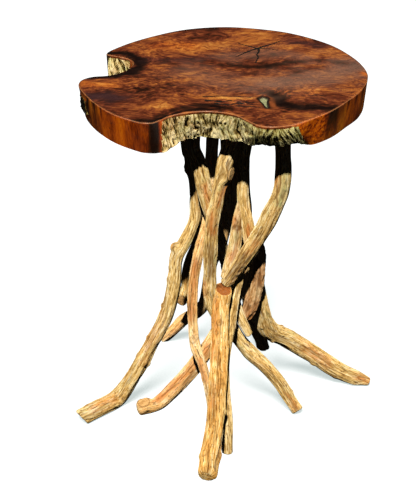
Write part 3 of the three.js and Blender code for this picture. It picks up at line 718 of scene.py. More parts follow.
def mark_tints(places, grain, branch):
    """How strongly each kind of mark shows at each place of a branch's skin."""
    tints = {key: np.zeros(places.shape[:-1]) for key in ("blush", "lichen", "bark", "brown")}
    number = first_seed(branch)
    ragged = 0.7 + 0.6 * grain_noise(grain, MARK_EDGE, number + 11)
    streaky = smooth_step(0.25, 0.6, grain_noise(grain, MARK_STREAKS, number + 12))
    for kind, width, strength, *points in branch.get("marks", []):
        if kind != "groove":
            distance = path_distance(places, points)[0]
            near = strength * bell(distance / (width * ragged))
            tints[kind] = np.maximum(tints[kind], np.clip(near * (0.35 + 0.65 * streaky), 0, 1))
    if branch["finish"] == "barked":
        tints["bark"] += smooth_step(0.35, 0.6, grain_noise(grain, BARK_PATCHES, number + 8))
    return tints


def branch_relief(branch, line, bare, grain, depth):
    """How far the skin stands out, in millimetres, with the painted shade of its hollows, grooves and bark
    gaps, and its knots.
    """
    number = first_seed(branch)
    height, hollow = weathered_relief(grain, number, depth)
    knot = np.zeros(height.shape)
    knots = [(skin_places(line, branch["seed"], angle, along)[0], size, lift)
             for along, angle, size, lift in random_knots(line, branch["seed"])]
    knots += [(place, size, lift) for *place, size, lift in branch.get("nubs", [])]
    for place, size, lift in knots:
        distance = np.linalg.norm(bare - place, axis=-1) / size
        height += lift * (bell(distance) - 0.45 * bell(2.6 * distance))
        ring = bell((distance - 0.95) / 0.35) + 0.8 * bell(3 * distance)
        knot = np.maximum(knot, np.clip(ring, 0, 1))
    wander = 0.75 + 0.5 * grain_noise(grain, MARK_EDGE, number + 11)
    for kind, width, strength, *points in branch.get("marks", []):
        if kind == "groove":
            distance, where = path_distance(bare, points)
            near = strength * bell(distance / (width * wander))
            height -= 1.1 * near * np.sqrt(np.sin(np.pi * np.clip(0.06 + 0.88 * where, 0, 1)))
            # Painted shade along the groove
            hollow = np.maximum(hollow, np.clip(1.3 * near, 0, 1))
    bark = np.clip(mark_tints(bare, grain, branch)["bark"], 0, 1)
    flakes = bark_flakes(grain, number + 20)
    # Painted shade in the gaps between the bark's flakes
    hollow = np.maximum(hollow, np.clip(bark * (0.3 - 0.8 * flakes), 0, 1))
    return height + bark * flakes, hollow, knot


def end_wear(edge, worn):
    """How far the skin is worn down, edge millimetres from an end that is worn round."""
    inside = np.clip((worn - edge) / worn, 0, 1)
    return worn * (1 - np.sqrt(1 - np.minimum(inside, 0.98)**2))


def close_ends(branch, places, grain, layers):
    """Add the rings that close the top and the foot, with their end grain and how fresh it is."""
    number = first_seed(branch)
    top, foot = (cap_rings(places[i], grain[i], {key: v[i] for key, v in layers.items()}, number + add)
                 for i, add in ((0, 30), (-1, 31)))
    # A foot worn round shows no end grain
    foot[2]["sawn"] *= branch.get("foot_worn", OPEN_END_WEAR) <= OPEN_END_WEAR
    places = np.concatenate([top[0][::-1], places, foot[0]])
    grain = np.concatenate([top[1][::-1], grain, foot[1]])
    layers = {key: np.concatenate([top[2][key][::-1], layers[key], foot[2][key]]) for key in layers}
    layers["fresh"] = np.zeros(grain.shape[:2])
    newly_cut, freshness = branch.get("fresh", ("neither", 0.0))
    rows_there = {"top": slice(0, CAP_RINGS + 2), "foot": slice(-CAP_RINGS - 2, None)}
    layers["fresh"][rows_there.get(newly_cut, slice(0, 0))] = freshness
    return places, grain, layers


def make_branch(name, look):
    """One branch: a skin round its route, with its grain, knots, marks, side stubs and ends."""
    branch = BRANCHES[name]
    seed = branch["seed"]
    line = branch_line(branch["route"])
    angles = np.arange(BRANCH_COLUMNS) * 2 * np.pi / BRANCH_COLUMNS
    start = plane_crossings(line, seed, angles, branch.get("top"), True)
    end = plane_crossings(line, seed, angles, branch.get("foot"), False)
    rows = int(line["along"][-1] / BRANCH_STEP)
    along = start + (end - start) * np.linspace(0, 1, rows + 1)[:, None]
    angle = np.broadcast_to(angles, along.shape)
    bare, outward, radius = skin_places(line, seed, angle, along)
    twist = angle + GRAIN_TWIST * (1 + np.sin(9 * seed)) * along
    grain = np.stack([radius * np.cos(twist), radius * np.sin(twist), along], -1)

    height, hollow, knot = branch_relief(branch, line, bare, grain, look.grain_depth / MM)
    for which, edge in (("top", along - start), ("foot", end - along)):
        cut_flat = branch.get(which) in ("slab", "floor")
        height -= end_wear(edge, FLAT_END_WEAR if cut_flat else branch.get(which + "_worn", OPEN_END_WEAR))
    places = bare + height[..., None] * outward
    sawn = np.zeros(along.shape)
    for stub in branch.get("stubs", []):
        places, face, edge = raise_stub(places, *stub)
        sawn = np.maximum(sawn, face)
        # Painted shade round the stub's sawn edge
        hollow = np.maximum(hollow, edge)

    places, grain, layers = close_ends(branch, places, grain, dict(hollow=hollow, knot=knot, sawn=sawn))
    places[..., 2] = np.maximum(places[..., 2], 0.0)
    layers.update(mark_tints(places, grain, branch), grain=grain * MM)
    mesh = wrapped_grid(name, places, layers)
    finish_piece(name, mesh, [driftwood_material(branch["finish"], look)])


def cap_rings(rim, grain, layers, seed):
    """Rings that close an end: each nearer its middle, with a little torn-fibre relief."""
    shares = np.linspace(1, 0, CAP_RINGS + 1)[1:]
    middle = rim.mean(0)
    heading = unit(np.cross(rim[0] - middle, rim[len(rim) // 4] - middle))
    places, grains = [], []
    for share in shares:
        relief = noise(grain[:, 0] * share / 2.6, grain[:, 1] * share / 2.6, 0, seed) - 0.5
        lift = 0.9 * relief * (1 if share else 0) * min(1, 3 * (1 - share))
        places.append(middle + share * (rim - middle) + lift[:, None] * heading)
        grains.append(grain * [share, share, 1])
    grains = np.array(grains)
    grains[-1] = grains[-1].mean(0)
    rings = {key: np.array([values * share for share in shares]) for key, values in layers.items()}
    rings["sawn"] = np.ones(grains.shape[:2])
    return np.array(places), grains, rings


# Slab


def bark_share(position, level):
    """How much bark there is at a place on the wall, from 0 to 1."""
    share = np.zeros(np.broadcast(position, level).shape)
    for first, last, first_low, last_low in BARK_STRETCHES:
        start = first + (first_low - first) * level
        end = last + (last_low - last) * level
        share = np.maximum(share, smooth_step(start - BARK_FADE, start + BARK_FADE, position)
                           * (1 - smooth_step(end - BARK_FADE, end + BARK_FADE, position)))
    return share


def outline_curve(first):
    """The closed outline whose x is the first number of each row, and each place's row in the list."""
    places, positions = spline(np.array(SLAB_OUTLINE)[:, first:first + 2], True, OUTLINE_STEPS)
    return np.vstack([places, places[:1]]), np.append(positions, len(SLAB_OUTLINE))


def outline_columns():
    """Positions along the outline, close together where there is bark to carve."""
    places, positions = outline_curve(0)
    lengths = np.linalg.norm(np.diff(places, axis=0), axis=1)
    middle = (positions[1:] + positions[:-1]) / 2
    near_bark = np.maximum(bark_share(middle - 0.2, 0.0), bark_share(middle + 0.2, 0.0))
    cost = lengths / np.where(near_bark > 0.01, BARK_STEP, SAWN_STEP)
    total = np.append(0, np.cumsum(cost))
    count = int(total[-1])
    columns = np.interp(np.arange(count) * total[-1] / count, total, positions)
    distance = np.interp(columns, positions, np.append(0, np.cumsum(lengths)))
    return columns, distance


def outline_places(columns, first):
    """Where each column meets the outline of the top, or of the underside."""
    places, positions = outline_curve(first)
    return np.stack([np.interp(columns, positions, places[:, k]) for k in range(2)], 1)


def bark_relief(distance, down, depth):
    """Fibrous bark: how far it stands out in millimetres, and the painted shade of its crevices."""
    # Each feature's two sizes are in millimetres, across the strands and down them
    lean = (15 * (noise(distance / 34, down / 34, 0, 901) - 0.5)
            + 3 * (noise(distance / 9, down / 12, 0, 902) - 0.5))
    strand = distance + lean
    lumps = noise(distance / 17, down / 20, 0.5, 903) - 0.5
    tufts = folded(noise(strand / 4.2, down / 24, 0, 904))
    strands = folded(noise(strand / 2.1, down / 13, 0, 905))
    threads = noise(strand / 1.4, down / 7, 0, 906) - 0.5
    pits = smooth_step(0.72, 0.88, noise(strand / 5, down / 12, 3.5, 907))
    curls = smooth_step(34, 54, down) * (noise(distance / 6.5, down / 6, 7.5, 908) - 0.35)
    height = depth * (1.1 * lumps + 0.75 * (tufts - 0.55) + 0.50 * (strands - 0.5) + 0.45 * threads
                      - 0.9 * pits + 1.1 * curls)
    # Painted shade: the lower the strands, and in the pits, the darker the bark
    crevice = np.clip(1.0 - 0.75 * tufts - 0.62 * strands - 0.9 * threads + 0.8 * pits, 0, 1)
    return height, crevice


def wall_levels():
    """Rows of the wall, in millimetres down from the top: round the rim, down the wall, its edge."""
    rim = RIM_ROUNDING * (1 - np.cos(np.linspace(0, np.pi / 2, 6)[1:]))
    straight = np.arange(RIM_ROUNDING, SLAB_THICKNESS - 0.5, WALL_STEP)[1:]
    return np.concatenate([rim, straight, [SLAB_THICKNESS - 0.9, SLAB_THICKNESS]])[:, None]


def slab_wall(columns, distance, down, bark_depth):
    """The wall row by row, the inner edge of its rounded rim, its bark, and the painted shade of the bark's
    crevices.
    """
    top, under = outline_places(columns, 0), outline_places(columns, 2)
    level = down / SLAB_THICKNESS
    # Where the bark leans in a lot, it hangs straight first and turns under near its lower edge
    lean = level**(1 + 1.3 * smooth_step(22, 48, np.linalg.norm(under - top, axis=1)))
    plan = top + (under - top) * lean[..., None]
    tangent = unit(np.roll(plan, -1, axis=1) - np.roll(plan, 1, axis=1))
    outward = np.stack([-tangent[..., 1], tangent[..., 0]], -1)
    outward *= np.sign(np.sum(outward * (plan - SLAB_CENTRE), -1).mean())

    bark = bark_share(columns, level)
    height, crevice = bark_relief(distance, down, bark_depth)
    burr = np.exp(-((plan[..., 1] - BURR["y"]) / BURR["half_width"])**4)
    burr = burr * (plan[..., 0] < BURR["left_of"])
    burr = burr * smooth_step(*BURR["begins"], down) * (1 - smooth_step(*BURR["ends"], down))
    burr_height, burr_crevice_shade = bark_relief(distance * 1.4, down * 1.3, bark_depth)
    inset = np.maximum(RIM_ROUNDING - down, 0)
    rounding = RIM_ROUNDING - np.sqrt(RIM_ROUNDING**2 - inset**2)
    rounding = rounding + np.maximum(down - SLAB_THICKNESS + 1, 0)
    # Bark and burr stand out; the sawn wall wanders, a millimetre or so inside the outline
    push = bark * smooth_step(1.5, 7, down) * (height - 0.15 * bark_depth)
    push = push + burr * (BURR["proud"] + 0.8 * burr_height)
    push = push - 0.8 * noise(distance / 40, down / 60, 2.5, 911) - 0.6
    plan = plan + (push - rounding)[..., None] * outward

    # The bark's lower edge is torn: tufts about 10 mm wide, with finer ones on them
    ragged = bark * (7.0 * (noise(distance / 10, 0.5, 0.5, 915) - 0.42)
                     + 3.0 * (noise(distance / 4, 0.5, 3.5, 916) - 0.5))
    height = TABLE_HEIGHT - down - ragged * smooth_step(0.45, 1.0, level)
    wall = np.concatenate([plan, height[..., None]], -1)
    inner_rim = top - RIM_ROUNDING * outward[0]
    # The bark starts a few millimetres below the rim, along a wavy line
    lip = 4.0 * noise(distance / 16, 0.5, 7.5, 921) - 0.5
    bark = np.maximum(bark, burr) * smooth_step(2.2 + lip, 4.5 + lip, down)
    # Over the burr the crevice value is nearly full, so this painted crevice shade makes the whole burr
    # dark
    crevice = np.clip(np.maximum(crevice, burr * (0.85 + burr_crevice_shade)), 0, 1)
    return wall, inner_rim, bark, crevice


def slab_skin(bark_depth):
    """Places of the slab's skin from the middle of its top, over the rim, to the middle below."""
    columns, distance = outline_columns()
    down = wall_levels()
    wall, inner_rim, bark, crevice = slab_wall(columns, distance, down, bark_depth)
    face = SLAB_CENTRE + TOP_SHARES[:, None, None] * (inner_rim - SLAB_CENTRE)
    face = np.insert(face, 2, TABLE_HEIGHT, axis=-1)
    # Underneath, the torn edge is level again a tenth of the way in
    levelled = np.maximum(0, 10 * UNDER_SHARES - 9)**2
    middle = np.append(SLAB_CENTRE, SLAB_UNDERSIDE)
    below = middle + np.stack([UNDER_SHARES, UNDER_SHARES, levelled], -1)[:, None] * (wall[-1] - middle)
    places = np.concatenate([face, wall, below])

    # Each layer's values on the wall, and its one value on the top and underneath
    layers = {}
    for key, values, above, beneath in (
            # The crevice layer is painted shade in the bark's crevices, and 0.4 of it on the bark
            # underneath
            ("bark", bark, 0.0, 0.0), ("crevice", crevice, 0.0, 0.4),
            ("wall", smooth_step(1.0, 4.0, down), 0.0, 1.0),
            # The thin lighter line along the rounded rim is a painted highlight
            ("rim", bell((down - 0.6) / 1.1), 0.0, 0.0), ("down", down, 0.0, SLAB_THICKNESS)):
        layers[key] = np.full(places.shape[:2], beneath)
        layers[key][:len(face)] = above
        layers[key][len(face):len(face) + len(wall)] = values
    layers["bark"][-len(below):] = bark[-1] * (UNDER_SHARES[:, None] > 0.93)
    layers["rim"][len(face) - 1] = 0.5
    return places, layers


def refine_top(mesh):
    """Split the flat top finely along the cracks, the fissures and the knot hole."""
    skin = bmesh.new()
    skin.from_mesh(mesh)
    lines = [points for _, _, *points in CRACKS + FISSURES] + [(KNOT_HOLE["at"], KNOT_HOLE["tail"])]
    for cuts, reach, longest in TOP_SPLITS:
        faces = [face for face in skin.faces if face.normal.z > 0.99]
        middles = np.array([face.calc_center_median()[:] for face in faces]) / MM - SHIFT
        nearest = np.min([path_distance(middles[:, :2], points)[0] for points in lines], axis=0)
        chosen = (nearest < reach) & (np.abs(middles[:, 2] - TABLE_HEIGHT) < 0.1)
        edges = {edge: None for i in np.flatnonzero(chosen) for edge in faces[i].edges
                 if edge.calc_length() > longest * MM}
        bmesh.ops.subdivide_edges(skin, edges=list(edges), cuts=cuts, use_grid_fill=True)
    skin.to_mesh(mesh)
    skin.free()


def carve_line(flat, width, points, seed):
    """A tapering crack through the points: how much of its full depth it has at each place."""
    distance, share = path_distance(flat, points)
    ragged = 0.8 * (noise(flat[:, 0] / 3, flat[:, 1] / 3, 0, seed) - 0.5)
    half = np.maximum(width / 2 * (1 - 0.6 * share), CRACK_TIP)
    return (1 - 0.5 * share) * (1 - smooth_step(0.4, 1.0, (distance + ragged) / half))


def knot_hole_depth(flat, spread):
    """The knot hole, wider by spread millimetres: 1 in its middle and down its tail, 0 outside."""
    at, tail = np.array(KNOT_HOLE["at"], float), np.array(KNOT_HOLE["tail"], float)
    distance, share = path_distance(flat, [at + (0, 6), at, tail])
    width = KNOT_HOLE["width"] * (1 - 0.85 * smooth_step(0.2, 1.0, share))
    wobble = 1 + 0.5 * (noise(flat[:, 0] / 5, flat[:, 1] / 5, 0, 931) - 0.5)
    return 1 - smooth_step(0.55, 1.0, distance / (width * wobble + spread))


def carve_top(flat):
    """How deep the top is cut by its cracks, knot hole and torn patch, and where each one shows."""
    crack, sunk = np.zeros(len(flat)), np.zeros(len(flat))
    for i, (width, depth, *points) in enumerate(CRACKS + FISSURES):
        here = carve_line(flat, width, points, 940 + i)
        crack = np.maximum(crack, here)
        sunk = np.maximum(sunk, depth * here)
    hole = knot_hole_depth(flat, 0)
    rough_floor = 0.75 + 0.5 * noise(flat[:, 0] / 3, flat[:, 1] / 3, 0, 951)
    sunk = np.maximum(sunk, KNOT_HOLE["depth"] * hole * rough_floor)
    offset = (flat - TORN_PATCH["at"]) / TORN_PATCH["reach"]
    patch = bell(np.sum(offset**2, axis=1))
    torn = smooth_step(0.45, 0.75, noise(flat[:, 0] / 9, flat[:, 1] / 3.4, 0, 955))
    return sunk + TORN_PATCH["depth"] * patch * torn, {
        # Near-black painted shade in the cracks and fissures
        "crack": np.clip(1.7 * crack, 0, 1), "hole": smooth_step(0.3, 0.7, hole),
        # Painted shade down the knot hole's walls and just round its edge
        "hole_edge": knot_hole_depth(flat, 4.5)}


def slab_figure(flat, down, above):
    """How strongly each kind of figure and stain shows; above is 1 on the top, 0 elsewhere."""
    figure = {kind: np.zeros(len(flat)) for kind in ("tone", "cool", "haze", "ember", "curl", "rings")}
    warp = 1 + 0.9 * (noise(flat[:, 0] / 22, flat[:, 1] / 16, 0, 961) - 0.5)
    for marks, where in ((TOP_FIGURE, above), (WALL_FIGURE, 1 - above)):
        for kind, width, strength, *points in marks:
            distance = path_distance(flat, points)[0]
            figure[kind] += where * strength * bell(distance / (width * warp))
    # A warm halo round the knot hole, moss on the right and on the burr, rust at the front left
    beside_hole = path_distance(flat, [KNOT_HOLE["at"], KNOT_HOLE["tail"]])[0]
    patchy = noise(flat[:, 0] / 7, flat[:, 1] / 9, 0, 957)
    figure["halo"] = bell((beside_hole - 12) / 7) * above * patchy
    figure["moss"] = smooth_step(15, 60, flat[:, 0]) + 1.5 * (flat[:, 0] < -225)
    at_left = (1 - smooth_step(-100, -50, flat[:, 0])) * (flat[:, 1] < -90)
    figure["rust"] = at_left * (1 - 0.6 * smooth_step(10, 34, down))
    return figure


def bark_faces(mesh):
    """Which faces are bark: those whose corners have more than half of it."""
    share = read_values(mesh.attributes["bark"].data, "value")
    corners = read_values(mesh.loops, "vertex_index", int)
    starts = read_values(mesh.polygons, "loop_start", int)
    counts = read_values(mesh.polygons, "loop_total", int)
    return np.add.reduceat(share[corners], starts) / counts > 0.5


def make_slab(look):
    """The round: its skin, then what is cut into its top, then its figure and its two materials."""
    mesh = wrapped_grid("tabletop_slab", *slab_skin(look.bark_depth / MM))
    refine_top(mesh)
    places = read_places(mesh)
    above = (np.abs(places[:, 2] - TABLE_HEIGHT) < 0.02).astype(float)
    sunk, cuts = carve_top(places[:, :2])
    places[:, 2] -= above * sunk
    write_places(mesh, places)
    write_attributes(mesh, {key: values * above for key, values in cuts.items()})
    write_attributes(mesh, slab_figure(places[:, :2], TABLE_HEIGHT - places[:, 2], above))
    finish_piece("tabletop_slab", mesh, [burl_material(look), bark_material(look)])
    mesh.polygons.foreach_set("material_index", bark_faces(mesh).astype(np.int32))


# Materials


def add_node(tree, kind, settings=None, inputs=None, stops=None):
    """Add a node; an input is a plain value or another node's output, stops are ramp colours."""
    node = tree.nodes.new(kind)
    for name, value in (settings or {}).items():
        setattr(node, name, value)
    for key, value in (inputs or {}).items():
        if isinstance(value, bpy.types.NodeSocket):
            tree.links.new(value, node.inputs[key])
        else:
            node.inputs[key].default_value = value
    for i, (position, colour) in enumerate(stops or []):
        elements = node.color_ramp.elements
        element = elements[i] if i < len(elements) else elements.new(position)
        element.position = position
        element.color = colour
    return node


def new_material(name):
    material = bpy.data.materials.new(name)
    material.use_nodes = True
    material.node_tree.nodes.clear()
    return material, material.node_tree


def add_sources(tree, vector, patterns, layers=(), roughness=0.6):
    """What colours follow: noise stretched as its table says, in millimetres, and mesh layers."""
    source = {}
    for key, (x, y, z, detail) in patterns.items():
        space = add_node(tree, "ShaderNodeMapping", inputs={
            "Vector": vector, "Scale": (1 / (x * MM), 1 / (y * MM), 1 / (z * MM))})
        source[key] = add_node(tree, "ShaderNodeTexNoise", inputs={
            "Vector": space.outputs[0], "Scale": 1.0, "Detail": detail,
            "Roughness": roughness}).outputs[0]
    for key in layers:
        source[key] = add_node(tree, "ShaderNodeAttribute", {"attribute_name": key}).outputs["Fac"]
    return source


def lay_over(tree, colour, source, stains):
    """Lay stains over a colour: each one's source, where it starts and is full, its strength, its
    own colour, and how it blends where that isn't a plain mix."""
    for key, low, high, strength, stain, *blend in stains:
        share = add_node(tree, "ShaderNodeMapRange", inputs={
            "Value": source[key], "From Min": low, "From Max": high, "To Max": strength}).outputs[0]
        settings = {"data_type": "RGBA", "blend_type": blend[0] if blend else "MIX"}
        over = opaque(stain) if isinstance(stain, str) else stain
        colour = add_node(tree, "ShaderNodeMix", settings, {0: share, 6: colour, 7: over}).outputs[2]
    return colour


def close_material(tree, shader_inputs, bump_height, bump_distance):
    """The wood's own surface shader, with its fine relief, wired to the output."""
    bump = add_node(tree, "ShaderNodeBump", inputs={
        "Height": bump_height, "Strength": 1.0, "Distance": bump_distance})
    shader = add_node(tree, "ShaderNodeBsdfPrincipled",
                      inputs=dict(shader_inputs, Normal=bump.outputs[0]))
    add_node(tree, "ShaderNodeOutputMaterial", inputs={"Surface": shader.outputs[0]})


# A ring pattern at this scale has its rings one unit apart
RING_SCALE = 0.314
END_RING_GAP = 2.4
SLAB_RING_GAP = 4.0

# How each pattern in the bare wood is stretched: millimetres across the grain, twice, and along it,
# and how much fine detail it has. Fibres are a little coarser than real ones, so that they show.
WOOD_PATTERNS = {
    "streaks": (4.6, 4.6, 110, 3), "fibres": (1.9, 1.9, 17, 2), "mottle": (28, 28, 50, 2),
    "warmth": (20, 20, 70, 2), "greening": (13, 13, 45, 3), "specks": (2.7, 2.7, 5, 1),
    "dashes": (2.2, 2.2, 18, 1), "pores": (1.3, 1.3, 7, 2),
}
# Where the five shades of the bare wood stand on its tone, from its checks to its pale ridges
SHADE_STOPS = (0.385, 0.44, 0.48, 0.53, 0.59)
# Each finish of the driftwood: the material's name, its five shades, and the tints of its warm and
# its green patches. The shade left out is the body colour that a user sets.
DRIFTWOOD_FINISHES = {
    # Sun-bleached and warm: yellow body with orange streaks
    "golden": ("Driftwood_golden_water_worn", ("#8f602a", "#c8964e", None, "#f1d088", "#fcedc0"),
               "#dca04e", "#cac890"),
    # Paler and greener, like dry straw
    "straw": ("Driftwood_straw_water_worn", ("#8a6a38", "#c29e5c", "#ddbd7a", "#eed69c", "#f9ecc8"),
              "#d9a85e", "#c6c894"),
    # The same wood where it is fresher: pink and orange
    "rosy": ("Driftwood_rosy_water_worn", ("#b88a52", "#e2b470", "#f6cc8c", "#fbdca4", "#feeecc"),
             "#e0a268", "#d6cc9c"),
    # Weathered longest: greyer, with a green cast
    "grey": ("Driftwood_grey_water_worn", ("#86663a", "#bb955a", "#dcba7c", "#ebd4a0", "#f6e8c6"),
             "#d8a676", "#bcbb90"),
    # Some thin brown bark still clings in plates
    "barked": ("Driftwood_with_clinging_bark", ("#85582f", "#b98a54", "#deb684", "#ebc898", "#f4dcb4"),
               "#c8844e", "#b8ac7c"),
}


# Driftwood: branches stripped of bark by water and bleached by the sun, left bare. Matt, with
# pale raised grain, brown painted shade in the hollows between the ridges, and short dark checks and
# specks.
def driftwood_material(finish, look):
    name, shades, warm, green = DRIFTWOOD_FINISHES[finish]
    if name in bpy.data.materials:
        return bpy.data.materials[name]
    material, tree = new_material(name)
    grain = add_node(tree, "ShaderNodeAttribute", {"attribute_name": "grain"}).outputs["Vector"]
    source = add_sources(tree, grain, WOOD_PATTERNS,
                         ("blush", "brown", "lichen", "bark", "hollow", "knot", "sawn", "fresh"))
    tone = 0.0
    for key, weight in (("streaks", 0.34), ("fibres", 0.46), ("mottle", 0.20)):
        tone = add_node(tree, "ShaderNodeMath", {"operation": "MULTIPLY_ADD"},
                        {0: source[key], 1: weight, 2: tone}).outputs[0]
    shades = [opaque(shade) if shade else (*look.wood_body, 1) for shade in shades]
    colour = add_node(tree, "ShaderNodeValToRGB", inputs={0: tone},
                      stops=list(zip(SHADE_STOPS, shades))).outputs[0]

    # End grain: growth rings, tan where worn and orange where freshly sawn
    rings = add_node(tree, "ShaderNodeTexWave", {"wave_type": "RINGS", "rings_direction": "Z"}, {
        "Vector": grain, "Scale": RING_SCALE / (END_RING_GAP * MM), "Distortion": 3.0, "Detail": 2.0,
        "Detail Scale": 2.0}).outputs[1]
    worn, fresh = (add_node(tree, "ShaderNodeMix", {"data_type": "RGBA"}, {
        0: rings, 6: opaque(early), 7: opaque(late)}).outputs[2]
        for early, late in (("#b88a50", "#e2bd84"), ("#6c300c", "#bc6a2e")))
    end_grain = add_node(tree, "ShaderNodeMix", {"data_type": "RGBA"}, {
        0: source["fresh"], 6: worn, 7: fresh}).outputs[2]

    colour = lay_over(tree, colour, source, [
        ("warmth", 0.52, 0.70, 0.55, warm), ("greening", 0.56, 0.72, 0.5, green),
        ("blush", 0.05, 0.9, 0.75, "#c97a38"), ("specks", 0.61, 0.68, 0.55, "#7a4c1e"),
        ("bark", 0.1, 1.0, 0.45, "#a8744a"), ("lichen", 0.1, 0.9, 0.8, "#b9bd84"),
        # The dark brown of the hollows is painted shade: in the grain's hollows, splits and grooves, and
        # round the stubs' sawn edges
        ("dashes", 0.64, 0.69, 0.75, "#53300f"), ("hollow", 0.15, 1.0, 0.7, "#6b4118"),
        ("knot", 0.1, 1.0, 0.4, "#7a4e22"), ("sawn", 0.1, 0.9, 0.9, end_grain),
        # The brown is the wood's own stain, except at the back of leg_front's sawn top, where it is painted
        # shade under brace_right's end
        ("brown", 0.1, 0.9, 0.8, "#5a3516")])
    relief = add_node(tree, "ShaderNodeMath", {"operation": "MULTIPLY_ADD"},
                      {0: source["fibres"], 1: 2.0, 2: source["pores"]}).outputs[0]
    close_material(tree, {"Base Color": colour, "Roughness": 0.85, "Diffuse Roughness": 1.0,
                          "IOR": 1.45, "Specular IOR Level": 0.15}, relief, 0.6 * MM)
    return material


# How wide each pattern of the burl is, in millimetres along x, y and z, and its fine detail
BURL_PATTERNS = {
    "clouds": (84, 62, 60, 3), "mottle": (24, 15, 16, 3), "curls": (9, 6, 6, 3),
    "grain": (15, 3.6, 4, 3), "lines": (20, 15, 20, 3), "specks": (3.2, 3.2, 4.5, 2),
}
BURL_WALL_PATTERNS = {
    "wall clouds": (34, 34, 80, 2), "wall streaks": (9, 9, 60, 3), "wall fibres": (2.0, 2.0, 16, 3),
}
# The slow swirls and the small curls that bend the burl's grain: how wide and how strong, in metres
BURL_SWIRLS = [(0.120, 0.09), (0.030, 0.022)]
# How much each pattern counts in the tone of the top, and in that of the wall
TOP_WEIGHTS = {"clouds": 0.50, "mottle": 0.26, "curls": 0.30, "grain": 0.46}
WALL_WEIGHTS = {"wall clouds": 0.40, "wall streaks": 0.16, "wall fibres": 0.28}
# Where the six colours of the burl that a user sets stand on its tone, darkest first
BURL_STOPS = {"slab_darkest": 0.24, "slab_dark": 0.36, "slab_red": 0.45, "slab_brown": 0.52,
              "slab_gold": 0.60, "slab_lightest": 0.74}


def burl_sources(tree):
    """What the burl's colours follow: its bent grain, its growth rings and veins, and mesh layers."""
    place = add_node(tree, "ShaderNodeTexCoord").outputs["Object"]
    bent = place
    for size, reach in BURL_SWIRLS:
        swirl = add_node(tree, "ShaderNodeTexNoise", inputs={
            "Vector": bent, "Scale": 1 / size, "Detail": 1.0}).outputs["Color"]
        centred = add_node(tree, "ShaderNodeVectorMath", {"operation": "SUBTRACT"},
                           {0: swirl, 1: (0.5, 0.5, 0.5)}).outputs[0]
        bent = add_node(tree, "ShaderNodeVectorMath", {"operation": "MULTIPLY_ADD"},
                        {0: centred, 1: (reach, reach, 0.0), 2: bent}).outputs[0]
    source = add_sources(tree, bent, BURL_PATTERNS)
    source.update(add_sources(tree, place, BURL_WALL_PATTERNS, (
        "tone", "cool", "haze", "ember", "curl", "rings", "wall", "rim", "crack", "hole", "hole_edge",
        "halo")))

    # Growth rings round the heart of the root, where the star crack is
    heart = add_node(tree, "ShaderNodeVectorMath", {"operation": "SUBTRACT"}, {
        0: bent, 1: tuple((np.append(ROOT_HEART, 0) + SHIFT) * MM)}).outputs[0]
    source["growth"] = add_node(tree, "ShaderNodeTexWave", {"wave_type": "RINGS", "rings_direction": "Z"}, {
        "Vector": heart, "Scale": RING_SCALE / (SLAB_RING_GAP * MM), "Distortion": 1.5,
        "Detail": 2.0}).outputs[1]

    # Fine dark veins on the top, along one level of a pattern
    vein = add_node(tree, "ShaderNodeMath", {"operation": "COMPARE"},
                    {0: source["lines"], 1: 0.5, 2: 0.008}).outputs[0]
    top_only = add_node(tree, "ShaderNodeMath", {"operation": "SUBTRACT"},
                        {0: 1.0, 1: source["wall"]}).outputs[0]
    source["vein"] = add_node(tree, "ShaderNodeMath", {"operation": "MULTIPLY"},
                              {0: vein, 1: top_only}).outputs[0]
    return source


def burl_tone(tree, source):
    """How light the burl is: its patterns, then the figure, the rings and the curls on them."""
    # The rings show where the mesh says, and so do the small curls where the wood is burl
    swings = []
    for pattern, where in (("growth", "rings"), ("curls", "curl")):
        centred = add_node(tree, "ShaderNodeMath", {"operation": "SUBTRACT"},
                           {0: source[pattern], 1: 0.5}).outputs[0]
        swings.append(add_node(tree, "ShaderNodeMath", {"operation": "MULTIPLY"},
                               {0: centred, 1: source[where]}).outputs[0])
    sums = []
    for weights in (TOP_WEIGHTS, WALL_WEIGHTS):
        total = 0.5 - sum(weights.values()) / 2
        for key, weight in weights.items():
            total = add_node(tree, "ShaderNodeMath", {"operation": "MULTIPLY_ADD"},
                             {0: source[key], 1: weight, 2: total}).outputs[0]
        sums.append(total)
    tone = add_node(tree, "ShaderNodeMix", {"data_type": "FLOAT"}, {
        0: source["wall"], 2: sums[0], 3: sums[1]}).outputs[0]
    for part, weight in ((source["tone"], 0.66), (swings[0], 0.10), (swings[1], 1.0)):
        tone = add_node(tree, "ShaderNodeMath", {"operation": "MULTIPLY_ADD"},
                        {0: part, 1: weight, 2: tone}).outputs[0]
    return tone


